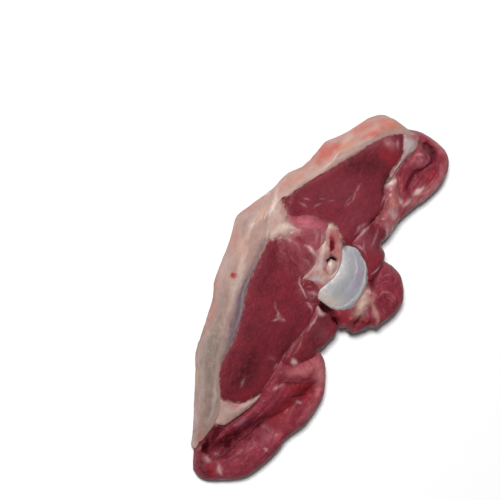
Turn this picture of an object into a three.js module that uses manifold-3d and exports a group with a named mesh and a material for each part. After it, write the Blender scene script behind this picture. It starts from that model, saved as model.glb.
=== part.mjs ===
// A raw lamb chop: one slice cut across the top of the leg, lying flat on its lower cut face.
// Millimetres, +Z up. X runs along the slice, the fat side faces -Y, and the loose flaps are at
// both ends. Each muscle, the bone and each layer of fat runs through the whole thickness, so
// each is a column between the flat underside and the upper cut face, cut clear of its neighbours.
import * as THREE from 'three';
import { mergeVertices } from 'three/addons/utils/BufferGeometryUtils.js';
import Module from 'manifold-3d';

// Driving dimensions
const GAP = 0.3;            // clearance between two neighbouring pieces
const FOOT_RADIUS = 5;      // rounding where the outer wall turns under
const WAIST = { x: -34, y: -33, reach: 10, radius: 2.5 };   // the fat side tucks under further here
const STATION = 4.2;        // spacing of the cross-sections along a piece
const ACROSS = 7;           // steps across the upper face of one cross-section
const FOOT_ROWS = [0, 0.1, 0.3, 0.7, 0.9, 1];   // rows across the underside
const UPPER_SHARE = 0.5;    // most of the local thickness that the upper rounding may take
const FOOT_SHARE = 0.42;    // and the rounding under it
const SEAM_WIDTH = 1.6;     // how far from a seam a muscle swells to its full height
const OUTER_STEP = 1.5;     // spacing of the samples along the outer edge
const LEVEL_REACH = 9;      // how far the height of one level point holds
const CUTTER_TOP = 40;      // upper end of the columns that cut neighbours clear
const CUTTER_FOOT = -10;    // and their lower end
const SHARPEST = 0.4;       // least sine of a chord's angle to its rail that an outset allows for

// Height of the upper face at a few places: [x, y, z]
const LEVELS = [
  [-60, -18, 17], [-65, -1, 16.5], [-40, -14, 17], [-15, -18, 17], [21, -16, 17],
  [43, -14, 16.5], [-16, 7, 17], [-70, 18, 13], [-76, 24, 10.5], [-16, 28, 15], [-20, 37, 13.5],
  [11, 14, 15], [28, 11, 15], [32, 26, 12], [57, 16, 11.5], [76, 4, 8.5], [66, -10, 12.5],
];

// The pieces, the uppermost in a seam first. outline is a closed loop from one tip, and far is
// the index of the opposite tip: the two rails between the tips carry the cross-sections.
// shoulder is the rounding of the outer upper edge, swell the rise of the middle over the seams.
// folds are creases in the upper face: a path, its depth (negative for a ridge) and its width.
// fineness packs the cross-sections closer, for folds.
const PIECES = [
  {
    name: 'hip_bone', color: 0xb4b6bc, roughness: 0.35,
    shoulder: 2, swell: 1.6, far: 6,
    outline: [
      [-28.5, 2.5], [-29.5, 8], [-26, 13.5], [-21.5, 17.5], [-13.5, 19.5], [-6, 17], [-3.5, 3],
      [-9, 2.5], [-14.5, 5.5], [-21, 4], [-26, 2],
    ],
    folds: [
      { path: [[-24, 9], [-17.5, 13], [-11, 12.5]], depth: 1.3, width: 3.5 },
    ],
  },
  {
    name: 'joint_ligament', color: 0xc2a6a0, roughness: 0.4,
    shoulder: 1, swell: 1.3, far: 3,
    outline: [
      [-20, 0.5], [-19.5, 3], [-17, 4.5], [-14, 3.5], [-15, 1], [-17.5, 0],
    ],
  },
  {
    name: 'joint_fat', color: 0xbb958c, roughness: 0.45,
    shoulder: 2, swell: 0.8, far: 5,
    outline: [
      [-33, -9.5], [-32, -5.5], [-27.5, 0], [-22.5, 7], [-12.5, 8], [-3.5, 4], [-7, 1.5],
      [-7, -6], [-13, -6], [-18, -5.5], [-20.5, -8], [-25, -7.5], [-29, -9],
    ],
  },
  {
    name: 'fat_cap', color: 0xcdb0a4, roughness: 0.4,
    shoulder: 3, swell: 0.6, far: 14,
    outline: [
      [-80, 7.5], [-81, 2.5], [-81, -6], [-68.5, -15], [-60, -24], [-48.5, -28.5], [-32, -33.5],
      [-15.5, -39.5], [-4.5, -35.5], [12, -34.5], [18, -30], [39.5, -26.5], [46.5, -20.5],
      [67.5, -10], [79.5, -5.5], [69, -5], [57, -5.5], [48, -12.5], [39, -18], [24.5, -19],
      [5.5, -25], [-7.5, -27.5], [-16.5, -28.5], [-21, -32], [-31, -32], [-43.5, -25.5],
      [-57.5, -16.5], [-71, -7.5], [-76, -1.5],
    ],
  },
  {
    name: 'fat_seam', color: 0xcab2aa, roughness: 0.4,
    shoulder: 2, swell: 0.7, far: 3,
    outline: [
      [-31, -34], [-27.5, -27], [-24.5, -23.5], [-22, -20], [-18, -20.5], [-16, -24.5],
      [-14, -29.5], [-17, -34.5], [-24.5, -36.5],
    ],
  },
  {
    name: 'fat_wedge_upper', color: 0xbfa7a8, roughness: 0.4,
    shoulder: 2, swell: 0.8, far: 4,
    outline: [
      [-76, 1.5], [-78, 4], [-78.5, 9], [-71.5, 9], [-65.5, 7], [-69, 5], [-72.5, 2.5],
    ],
  },
  {
    name: 'neck_muscle', color: 0x74303a, roughness: 0.4,
    shoulder: 5, swell: 1, far: 4,
    outline: [
      [-29.5, 5], [-34.5, 5], [-40.5, 7.5], [-37.5, 15.5], [-30, 21.5], [-21, 20.5], [-22, 15],
      [-25, 9.5],
    ],
  },
  {
    name: 'eye_muscle_upper', color: 0x702833, roughness: 0.38,
    shoulder: 4, swell: 1.2, far: 5,
    outline: [
      [-27.5, -30], [-37, -32], [-48, -24.5], [-60.5, -16.5], [-71, -9], [-79.5, 0.5], [-72, 5],
      [-62, 5.5], [-54, 9.5], [-43.5, 12.5], [-37.5, 7.5], [-27, 6], [-28, -1.5],
      [-31.5, -10.5], [-30.5, -18.5], [-26, -24],
    ],
  },
  {
    name: 'core_muscle', color: 0x9c4a56, roughness: 0.38,
    shoulder: 3, swell: 0.9, far: 7,
    outline: [
      [-26, -30], [-30, -22.5], [-32, -12.5], [-30.5, -7], [-24, -4.5], [-18.5, -3.5],
      [-8.5, -3.5], [-1.5, 5.5], [0.5, -2], [-3.5, -8.5], [-8.5, -10.5], [-9.5, -17.5],
      [-14.5, -24], [-21.5, -25.5],
    ],
  },
  {
    name: 'eye_muscle_lower', color: 0x762b36, roughness: 0.38,
    shoulder: 4, swell: 1.3, far: 10,
    outline: [
      [-16.5, -30], [-15.5, -22.5], [-10, -18], [-8.5, -9.5], [-2.5, -4], [-3, 3.5], [5, 6.5],
      [21.5, 4.5], [40, 4], [48.5, -1.5], [50.5, -10.5], [46.5, -15.5], [38.5, -19],
      [25.5, -20], [6.5, -25.5], [-6.5, -29],
    ],
  },
  {
    name: 'fat_wedge_lower', color: 0xc4aba6, roughness: 0.4,
    shoulder: 2, swell: 0.8, far: 3,
    outline: [
      [39.5, 4], [49, 2.5], [58.5, -2], [60.5, -7], [50, -12.5], [49, -7.5], [46, 0],
    ],
  },
  {
    name: 'under_lobe', color: 0x6a2731, roughness: 0.38,
    shoulder: 5, swell: 1, far: 4,
    outline: [
      [-1.5, 5], [1.5, 13.5], [3, 18], [11.5, 19.5], [25, 9], [23, 2.5], [11.5, 3], [3, 2.5],
    ],
  },
  {
    name: 'side_lobe', color: 0x82353f, roughness: 0.38,
    shoulder: 6, swell: 1, far: 6,
    outline: [
      [-30, 18.5], [-31, 25.5], [-28.5, 33], [-23, 38], [-15, 40], [-6, 35.5], [2, 20.5],
      [-1.5, 15.5], [-6.5, 15], [-13, 17.5], [-20, 16],
    ],
    folds: [
      { path: [[-28.5, 21], [-21, 21.5], [-16.5, 25]], depth: 1.6, width: 1.6 },
    ],
  },
  {
    name: 'membrane_strip', color: 0xb5706c, roughness: 0.4,
    shoulder: 4, swell: 0.8, far: 4,
    outline: [
      [-61, 8], [-57.5, 12], [-52.5, 16], [-45.5, 17.5], [-35, 16], [-39, 13], [-46, 10.5],
      [-53, 8],
    ],
  },
  {
    name: 'flap_upper', color: 0x96404a, roughness: 0.38,
    shoulder: 6, swell: 1.2, fineness: 1.5, far: 6,
    outline: [
      [-80, 4], [-82, 12.5], [-81, 21.5], [-75.5, 27.5], [-65.5, 29.5], [-56, 25.5], [-44, 19],
      [-51, 15.5], [-57, 10.5], [-61.5, 6.5], [-67, 6], [-75.5, 8],
    ],
    folds: [
      {
        path: [[-80, 13.5], [-77, 20.5], [-70.5, 18.5], [-64, 14.5], [-58, 14.5]],
        depth: 5, width: 2.6,
      },
      { path: [[-79, 10.5], [-71, 9], [-66, 7.5]], depth: 2.5, width: 2.4 },
    ],
  },
  {
    name: 'flap_lower', color: 0x8c3741, roughness: 0.38,
    shoulder: 6, swell: 1.2, fineness: 1.5, far: 9,
    outline: [
      [22, 4.5], [15.5, 18], [19, 24.5], [26, 29.5], [35.5, 31.5], [46.5, 29.5], [61, 26],
      [70, 22], [78.5, 13.5], [82, -3], [75, -6.5], [67.5, -7], [58, -6.5], [48, -2.5],
      [39.5, 1], [31.5, 2.5],
    ],
    folds: [
      { path: [[72.5, -1.5], [65.5, 3], [57.5, 9], [52, 14]], depth: 5, width: 4.5 },
      { path: [[62, -1.5], [50.5, 2], [41.5, 4.5]], depth: 3.5, width: 2.6 },
      { path: [[52, 14], [41, 17.5], [33, 22.5], [29, 25]], depth: 2.2, width: 3 },
      { path: [[33, 10], [28.5, 18], [27.5, 24.5]], depth: 1.8, width: 2.6 },
    ],
  },
];

// Points at even spacing along a smooth curve through the given ones.
function smooth(points, steps) {
  const curve = new THREE.CatmullRomCurve3(
    points.map(([x, y]) => new THREE.Vector3(x, y, 0)), false, 'centripetal');
  return curve.getSpacedPoints(steps).map((p) => [p.x, p.y]);
}

// The two rails of a piece, both from its first tip to its far one, with as many steps each.
function rails(piece, spacing) {
  const step = spacing / (piece.fineness ?? 1);
  const near = piece.outline.slice(0, piece.far + 1);
  const back = [piece.outline[0], ...piece.outline.slice(piece.far).reverse()];
  const length = near.slice(1).reduce(
    (sum, p, i) => sum + Math.hypot(p[0] - near[i][0], p[1] - near[i][1]), 0);
  const steps = Math.max(6, Math.round(length / step));
  return [smooth(near, steps), smooth(back, steps)];
}

// The closed loop round a piece, at even steps.
function loop(piece, step) {
  const [near, back] = rails(piece, step);
  return [...near, ...back.slice(1, -1).reverse()];
}

function segmentsOf(points, closed) {
  const ends = closed ? points.length : points.length - 1;
  return points.slice(0, ends).map((p, i) => [p, points[(i + 1) % points.length]]);
}

function distanceToSegments(x, y, segments) {
  let nearest = Infinity;
  for (const [[ax, ay], [bx, by]] of segments) {
    const dx = bx - ax;
    const dy = by - ay;
    const along = ((x - ax) * dx + (y - ay) * dy) / (dx * dx + dy * dy || 1);
    const t = Math.min(1, Math.max(0, along));
    nearest = Math.min(nearest, Math.hypot(x - ax - t * dx, y - ay - t * dy));
  }
  return nearest;
}

function inside(x, y, polygon) {
  let odd = false;
  for (const [[ax, ay], [bx, by]] of segmentsOf(polygon, true)) {
    const crosses = (ay > y) !== (by > y);
    if (crosses && x < ax + ((y - ay) * (bx - ax)) / (by - ay)) odd = !odd;
  }
  return odd;
}

for (const piece of PIECES) {
  piece.loop = loop(piece, OUTER_STEP);
  piece.edge = segmentsOf(piece.loop, true);
}

// The outer edge of the whole slice: what no other piece covers of each piece's own edge.
const outerEdge = PIECES.flatMap((piece) => piece.edge.filter(([a, b]) => {
  const x = (a[0] + b[0]) / 2;
  const y = (a[1] + b[1]) / 2;
  return !PIECES.some((other) => other !== piece && inside(x, y, other.loop));
}));

function level(x, y) {
  let sum = 0;
  let weights = 0;
  for (const [px, py, z] of LEVELS) {
    const weight = 1 / ((x - px) ** 2 + (y - py) ** 2 + LEVEL_REACH ** 2) ** 2;
    sum += weight * z;
    weights += weight;
  }
  return sum / weights;
}

// Drop of a rounded edge of this radius at a distance inside it.
function rounding(distance, radius) {
  const t = 1 - Math.min(1, distance / radius);
  return radius * (1 - Math.sqrt(Math.max(0, 1 - t * t)));
}

function topHeight(piece, masters, x, y) {
  const toSeam = Math.min(
    ...[piece, ...masters].map((other) => distanceToSegments(x, y, other.edge)));
  const crease = (piece.folds ?? []).reduce((sum, { path, depth, width }) => {
    const away = distanceToSegments(x, y, segmentsOf(path, false));
    return sum + depth * Math.exp(-((away / width) ** 2));
  }, 0);
  return level(x, y) + piece.swell * (1 - Math.exp(-toSeam / SEAM_WIDTH)) - crease
    - rounding(distanceToSegments(x, y, outerEdge), Math.min(piece.shoulder, level(x, y) * UPPER_SHARE));
}

function footHeight(x, y) {
  const fromWaist = Math.hypot(x - WAIST.x, y - WAIST.y) / WAIST.reach;
  const radius = FOOT_RADIUS + WAIST.radius * Math.exp(-(fromWaist ** 2));
  return rounding(distanceToSegments(x, y, outerEdge), Math.min(radius, level(x, y) * FOOT_SHARE));
}

// One piece as cross-sections between its rails: over the upper face, down the wall, back along
// the underside. The rails meet at both tips, which closes the ends.
function column(piece, masters) {
  const [near, back] = rails(piece, STATION);
  const across = Math.round(ACROSS * (piece.fineness ?? 1));
  const topRows = Array.from({ length: across + 1 },
    (_, k) => (1 - Math.cos((Math.PI * k) / across)) / 2);
  const footRows = [...FOOT_ROWS].reverse();
  const ring = topRows.length + footRows.length;
  const positions = [];
  near.forEach(([ax, ay], i) => {
    const [bx, by] = back[i];
    for (const v of topRows) {
      const x = ax + (bx - ax) * v;
      const y = ay + (by - ay) * v;
      positions.push(x, y, topHeight(piece, masters, x, y));
    }
    for (const v of footRows) {
      const x = ax + (bx - ax) * v;
      const y = ay + (by - ay) * v;
      positions.push(x, y, footHeight(x, y));
    }
  });
  const index = [];
  for (let i = 0; i < near.length - 1; i += 1) {
    for (let j = 0; j < ring; j += 1) {
      const a = i * ring + j;
      const b = i * ring + ((j + 1) % ring);
      index.push(a, b, b + ring, a, b + ring, a + ring);
    }
  }
  return welded(positions, index);
}

// Merges equal points, drops the triangles that collapsed and turns the faces outward.
function welded(positions, index) {
  const geometry = new THREE.BufferGeometry();
  geometry.setAttribute('position', new THREE.Float32BufferAttribute(positions, 3));
  geometry.setIndex([...index]);
  const merged = mergeVertices(geometry, 1e-3);
  const faces = [];
  const old = merged.index.array;
  for (let f = 0; f < old.length; f += 3) {
    const [a, b, c] = old.slice(f, f + 3);
    if (a !== b && b !== c && c !== a) faces.push(a, b, c);
  }
  const outward = signedVolume(merged.attributes.position, faces) > 0;
  merged.setIndex(outward ? faces : faces.reverse());
  return merged;
}

function signedVolume(position, faces) {
  const [a, b, c] = [0, 1, 2].map(() => new THREE.Vector3());
  let sum = 0;
  for (let f = 0; f < faces.length; f += 3) {
    a.fromBufferAttribute(position, faces[f]);
    b.fromBufferAttribute(position, faces[f + 1]);
    c.fromBufferAttribute(position, faces[f + 2]);
    sum += a.dot(b.cross(c));
  }
  return sum / 6;
}

// The step from one point of a rail to the next, averaged over both sides.
function heading(rail, i) {
  const before = rail[Math.max(0, i - 1)];
  const after = rail[Math.min(rail.length - 1, i + 1)];
  return new THREE.Vector2(after[0] - before[0], after[1] - before[1]).normalize();
}

// How far a rail point moves along its chord so that the rail itself moves out by the gap.
function outset(rail, i, chord) {
  return GAP / Math.max(SHARPEST, Math.abs(chord.cross(heading(rail, i))));
}

// A tall straight column on the same cross-sections, wider by the gap and longer by it at both
// tips, which cuts the neighbours of a piece clear.
function cutter(piece) {
  const [near, back] = rails(piece, STATION);
  const last = near.length - 1;
  const positions = [];
  near.forEach((a, i) => {
    const b = back[i];
    const spine = heading(near, i).add(heading(back, i)).normalize();
    const atTip = i === 0 || i === last;
    const chord = atTip
      ? new THREE.Vector2(b[0] - a[0], b[1] - a[1]).addScaledVector(acrossOf(piece, spine), GAP)
      : new THREE.Vector2(b[0] - a[0], b[1] - a[1]);
    chord.normalize();
    const beyond = atTip ? Math.sign(i - 1) * GAP : 0;
    const left = atTip ? GAP : outset(near, i, chord);
    const right = atTip ? GAP : outset(back, i, chord);
    const ax = a[0] - chord.x * left + spine.x * beyond;
    const ay = a[1] - chord.y * left + spine.y * beyond;
    const bx = b[0] + chord.x * right + spine.x * beyond;
    const by = b[1] + chord.y * right + spine.y * beyond;
    positions.push(ax, ay, CUTTER_TOP, bx, by, CUTTER_TOP, bx, by, CUTTER_FOOT, ax, ay, CUTTER_FOOT);
  });
  const index = [0, 1, 2, 0, 2, 3];
  for (let i = 0; i < last; i += 1) {
    for (let j = 0; j < 4; j += 1) {
      const p = i * 4 + j;
      const q = i * 4 + ((j + 1) % 4);
      index.push(p, q + 4, q, p, p + 4, q + 4);
    }
  }
  const end = last * 4;
  index.push(end, end + 2, end + 1, end, end + 3, end + 2);
  return welded(positions, index);
}

// Across a piece, from its near rail to its back one, at right angles to a heading.
function acrossOf(piece, spine) {
  const [near, back] = rails(piece, STATION);
  const middle = Math.floor(near.length / 2);
  const span = new THREE.Vector2(
    back[middle][0] - near[middle][0], back[middle][1] - near[middle][1]);
  const across = new THREE.Vector2(-spine.y, spine.x);
  const alongMiddle = heading(near, middle).add(heading(back, middle));
  const turn = Math.sign(alongMiddle.cross(span)) || 1;
  return across.multiplyScalar(turn);
}

const wasm = await Module();
wasm.setup();

function toSolid(geometry) {
  const mesh = new wasm.Mesh({
    numProp: 3,
    vertProperties: new Float32Array(geometry.attributes.position.array),
    triVerts: new Uint32Array(geometry.index.array),
  });
  return new wasm.Manifold(mesh);
}

function toGeometry(solid) {
  const { vertProperties, triVerts } = solid.getMesh();
  const geometry = new THREE.BufferGeometry();
  geometry.setAttribute('position', new THREE.BufferAttribute(vertProperties, 3));
  geometry.setIndex(new THREE.BufferAttribute(triVerts, 1));
  geometry.computeVertexNormals();
  return geometry;
}

const chop = new THREE.Group();
const cutters = PIECES.map((piece) => toSolid(cutter(piece)));
PIECES.forEach((piece, order) => {
  const masters = PIECES.slice(0, order);
  const solid = cutters.slice(0, order).reduce(
    (left, tool) => left.subtract(tool), toSolid(column(piece, masters)));
  const material = new THREE.MeshStandardMaterial(
    { color: piece.color, roughness: piece.roughness, metalness: 0 });
  const mesh = new THREE.Mesh(toGeometry(solid), material);
  mesh.name = piece.name;
  chop.add(mesh);
});

export default chop;
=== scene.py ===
"""A raw lamb chop: one slice cut across the top of the leg, lying flat on its lower cut face.

Every muscle, the bone and each layer of fat is one closed surface, worked out as arrays. Two
rails run from one tip of the piece to the other, and a ring is carried along them: over the
upper cut face, down the wall, back along the underside and up the other wall. The pieces share
one height field and one outer edge, and where two meet, the lower-ranked one runs on under the
other, so that their seam is tight. Lengths are in millimetres, and the meshes are in metres.
"""

import bpy
import numpy as np
from mathutils import Matrix, Vector


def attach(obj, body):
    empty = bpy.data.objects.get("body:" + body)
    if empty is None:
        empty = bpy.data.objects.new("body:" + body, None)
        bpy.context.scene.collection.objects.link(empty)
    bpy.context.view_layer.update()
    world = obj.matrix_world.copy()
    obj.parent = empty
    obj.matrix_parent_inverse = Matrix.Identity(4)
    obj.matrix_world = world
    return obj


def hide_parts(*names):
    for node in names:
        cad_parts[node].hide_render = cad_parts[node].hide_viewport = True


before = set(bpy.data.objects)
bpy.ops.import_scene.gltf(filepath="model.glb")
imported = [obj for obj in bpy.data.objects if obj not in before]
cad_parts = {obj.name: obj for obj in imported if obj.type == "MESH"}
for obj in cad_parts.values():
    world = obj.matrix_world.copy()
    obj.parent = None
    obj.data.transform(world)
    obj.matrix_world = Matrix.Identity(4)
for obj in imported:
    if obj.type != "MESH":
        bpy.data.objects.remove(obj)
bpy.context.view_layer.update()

MM = 0.001

# Driving dimensions of the slice, as in its solids
FOOT_RADIUS = 5             # rounding where the outer wall turns under
WAIST = (-34, -33)          # the fat side tucks under further around this place,
WAIST_REACH = 10            # this far along the edge
WAIST_RADIUS = 2.5          # and by this much
UPPER_SHARE = 0.5           # most of the local thickness that the upper rounding may take
FOOT_SHARE = 0.42           # and the rounding under it
SEAM_WIDTH = 1.6            # how far from a seam a muscle swells to its full height
OUTER_STEP = 1              # spacing of the samples along the outer edge
LEVEL_REACH = 9             # how far the height of one level point holds

# Spacing of the surface points, and how they are worked out
STEP = 0.38
WALL_ROWS = 20   # rows of points down a wall
FEWEST_STATIONS = 6         # along a piece,
FEWEST_ACROSS = 10          # and across it
CURVE_SAMPLES = 40          # straight parts that one span of a curve is measured by
CHUNK = 4096                # points whose distances are worked out at a time
TINY = 1e-12                # keeps a segment of no length from dividing by nothing
NEARBY = 6                  # pieces further apart than this don't shape each other
SHARP_ANGLE = 60            # an edge sharper than this many degrees stays a crease

# Where a piece runs on under a neighbour
TUCK_SLOPE = 1.2            # how steeply it dives,
TUCK_DEPTH = 2.5            # how deep at most,
TUCK_EARLY = 0.25           # and how far before a crisp seam it starts to
CRISP = 1                   # a seam whose tissues mingle less than this is crisp

# Relief of the faces. A noise is a sum of parts: (amount, size). Where both x and y waver, the
# noise for y is taken this far off the one for x: WAVER_APART, RUFFLE_APART.
NOISE_SEED = 5
NOISE_CELLS = 32            # the noise repeats after this many cells,
NOISE_OFFSET = 11.3         # and is shifted by this times its size, so no two sizes line up
CARVE = 0.8                 # how deep a full dark mark is cut into the face,
PALE_RISE = 0.3             # and how much of that a full pale one stands out
LUMPS = ((0.12, 4.7), (0.06, 1.9))    # away from the seams
PORES = ((0.06, 1.1),)                # everywhere
WRINKLE_DRAW = (0.25, 1, 1)           # wrinkles are drawn out along the slice
WRINKLE_SIZE = 1.7
RUFFLE = ((0.32, 6.1), (0.14, 2.2), (0.05, 1))    # how far the outlines waver sideways
RUFFLE_APART = (400, 400, 0)

# Marks
SIDE_SLANT = np.tan(np.radians(25))   # a mark on a side is placed this much further out a mm down
FACE_HEIGHT = 17            # height of the cut face that the marks are laid out on
CURVE_STEP = 1              # spacing along the curve of a mark
MARK_REACH = 2.5            # a mark shows as far out as this many of its widths
LONG_MARK = 6               # a mark this many widths long fades fully at its ends,
END_FADE = 0.6              # by this share,
END_REACH = 0.3             # over this share of its length
WAVER = ((0.4, 2.9), (0.25, 1.1))     # how far marks waver from their paths
WAVER_APART = (60, 60, 60)
PATCHES = ((0.3, 1.5), (0.3, 0.7))    # how patchy they are
RIM = 0.5                   # strength of the paler color laid along the outer edge and on the walls,
RIM_WIDTH = 1.4             # and how far in it reaches
CREASE_DEPTH = 2.5          # a crease gets painted shade by its depth over this,
FOLD_DEPTH = 12             # and a fold by its depth over this,
SHADE_START = 0.1           # less this,
SHADE_MOST = 0.7            # and no darker than this

# Camera and light, in degrees and millimetres
CAMERA_HEIGHT = 65
CAMERA_ROLL = 120
CAMERA_AWAY = 1500
CAMERA_SPAN = 200           # width of the frame at the slice
CAMERA_AIM = (-6.8, -24.8, 0)
SENSOR_WIDTH = 36
LIGHT_AWAY = 2500
LIGHT_BEARING = -105
LIGHT_HEIGHT = 58
LIGHT_SIZE = 400
LIGHT_POWER = 83            # in watts
ROOM_LIGHT = 0.11
FLOOR_HALF = 1500           # half the width of the sheet that the slice lies on

# Height of the upper face at a few places: (x, y, z)
LEVELS = np.array([
    (-60, -18, 17), (-65, -1, 16.5), (-40, -14, 17), (-15, -18, 17), (21, -16, 17),
    (43, -14, 16.5), (-16, 7, 17), (-70, 18, 13), (-76, 24, 10.5), (-16, 28, 15),
    (-20, 37, 13.5), (11, 14, 15), (28, 11, 15), (32, 26, 12), (57, 16, 11.5), (76, 4, 8.5),
    (66, -10, 12.5),
])

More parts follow.
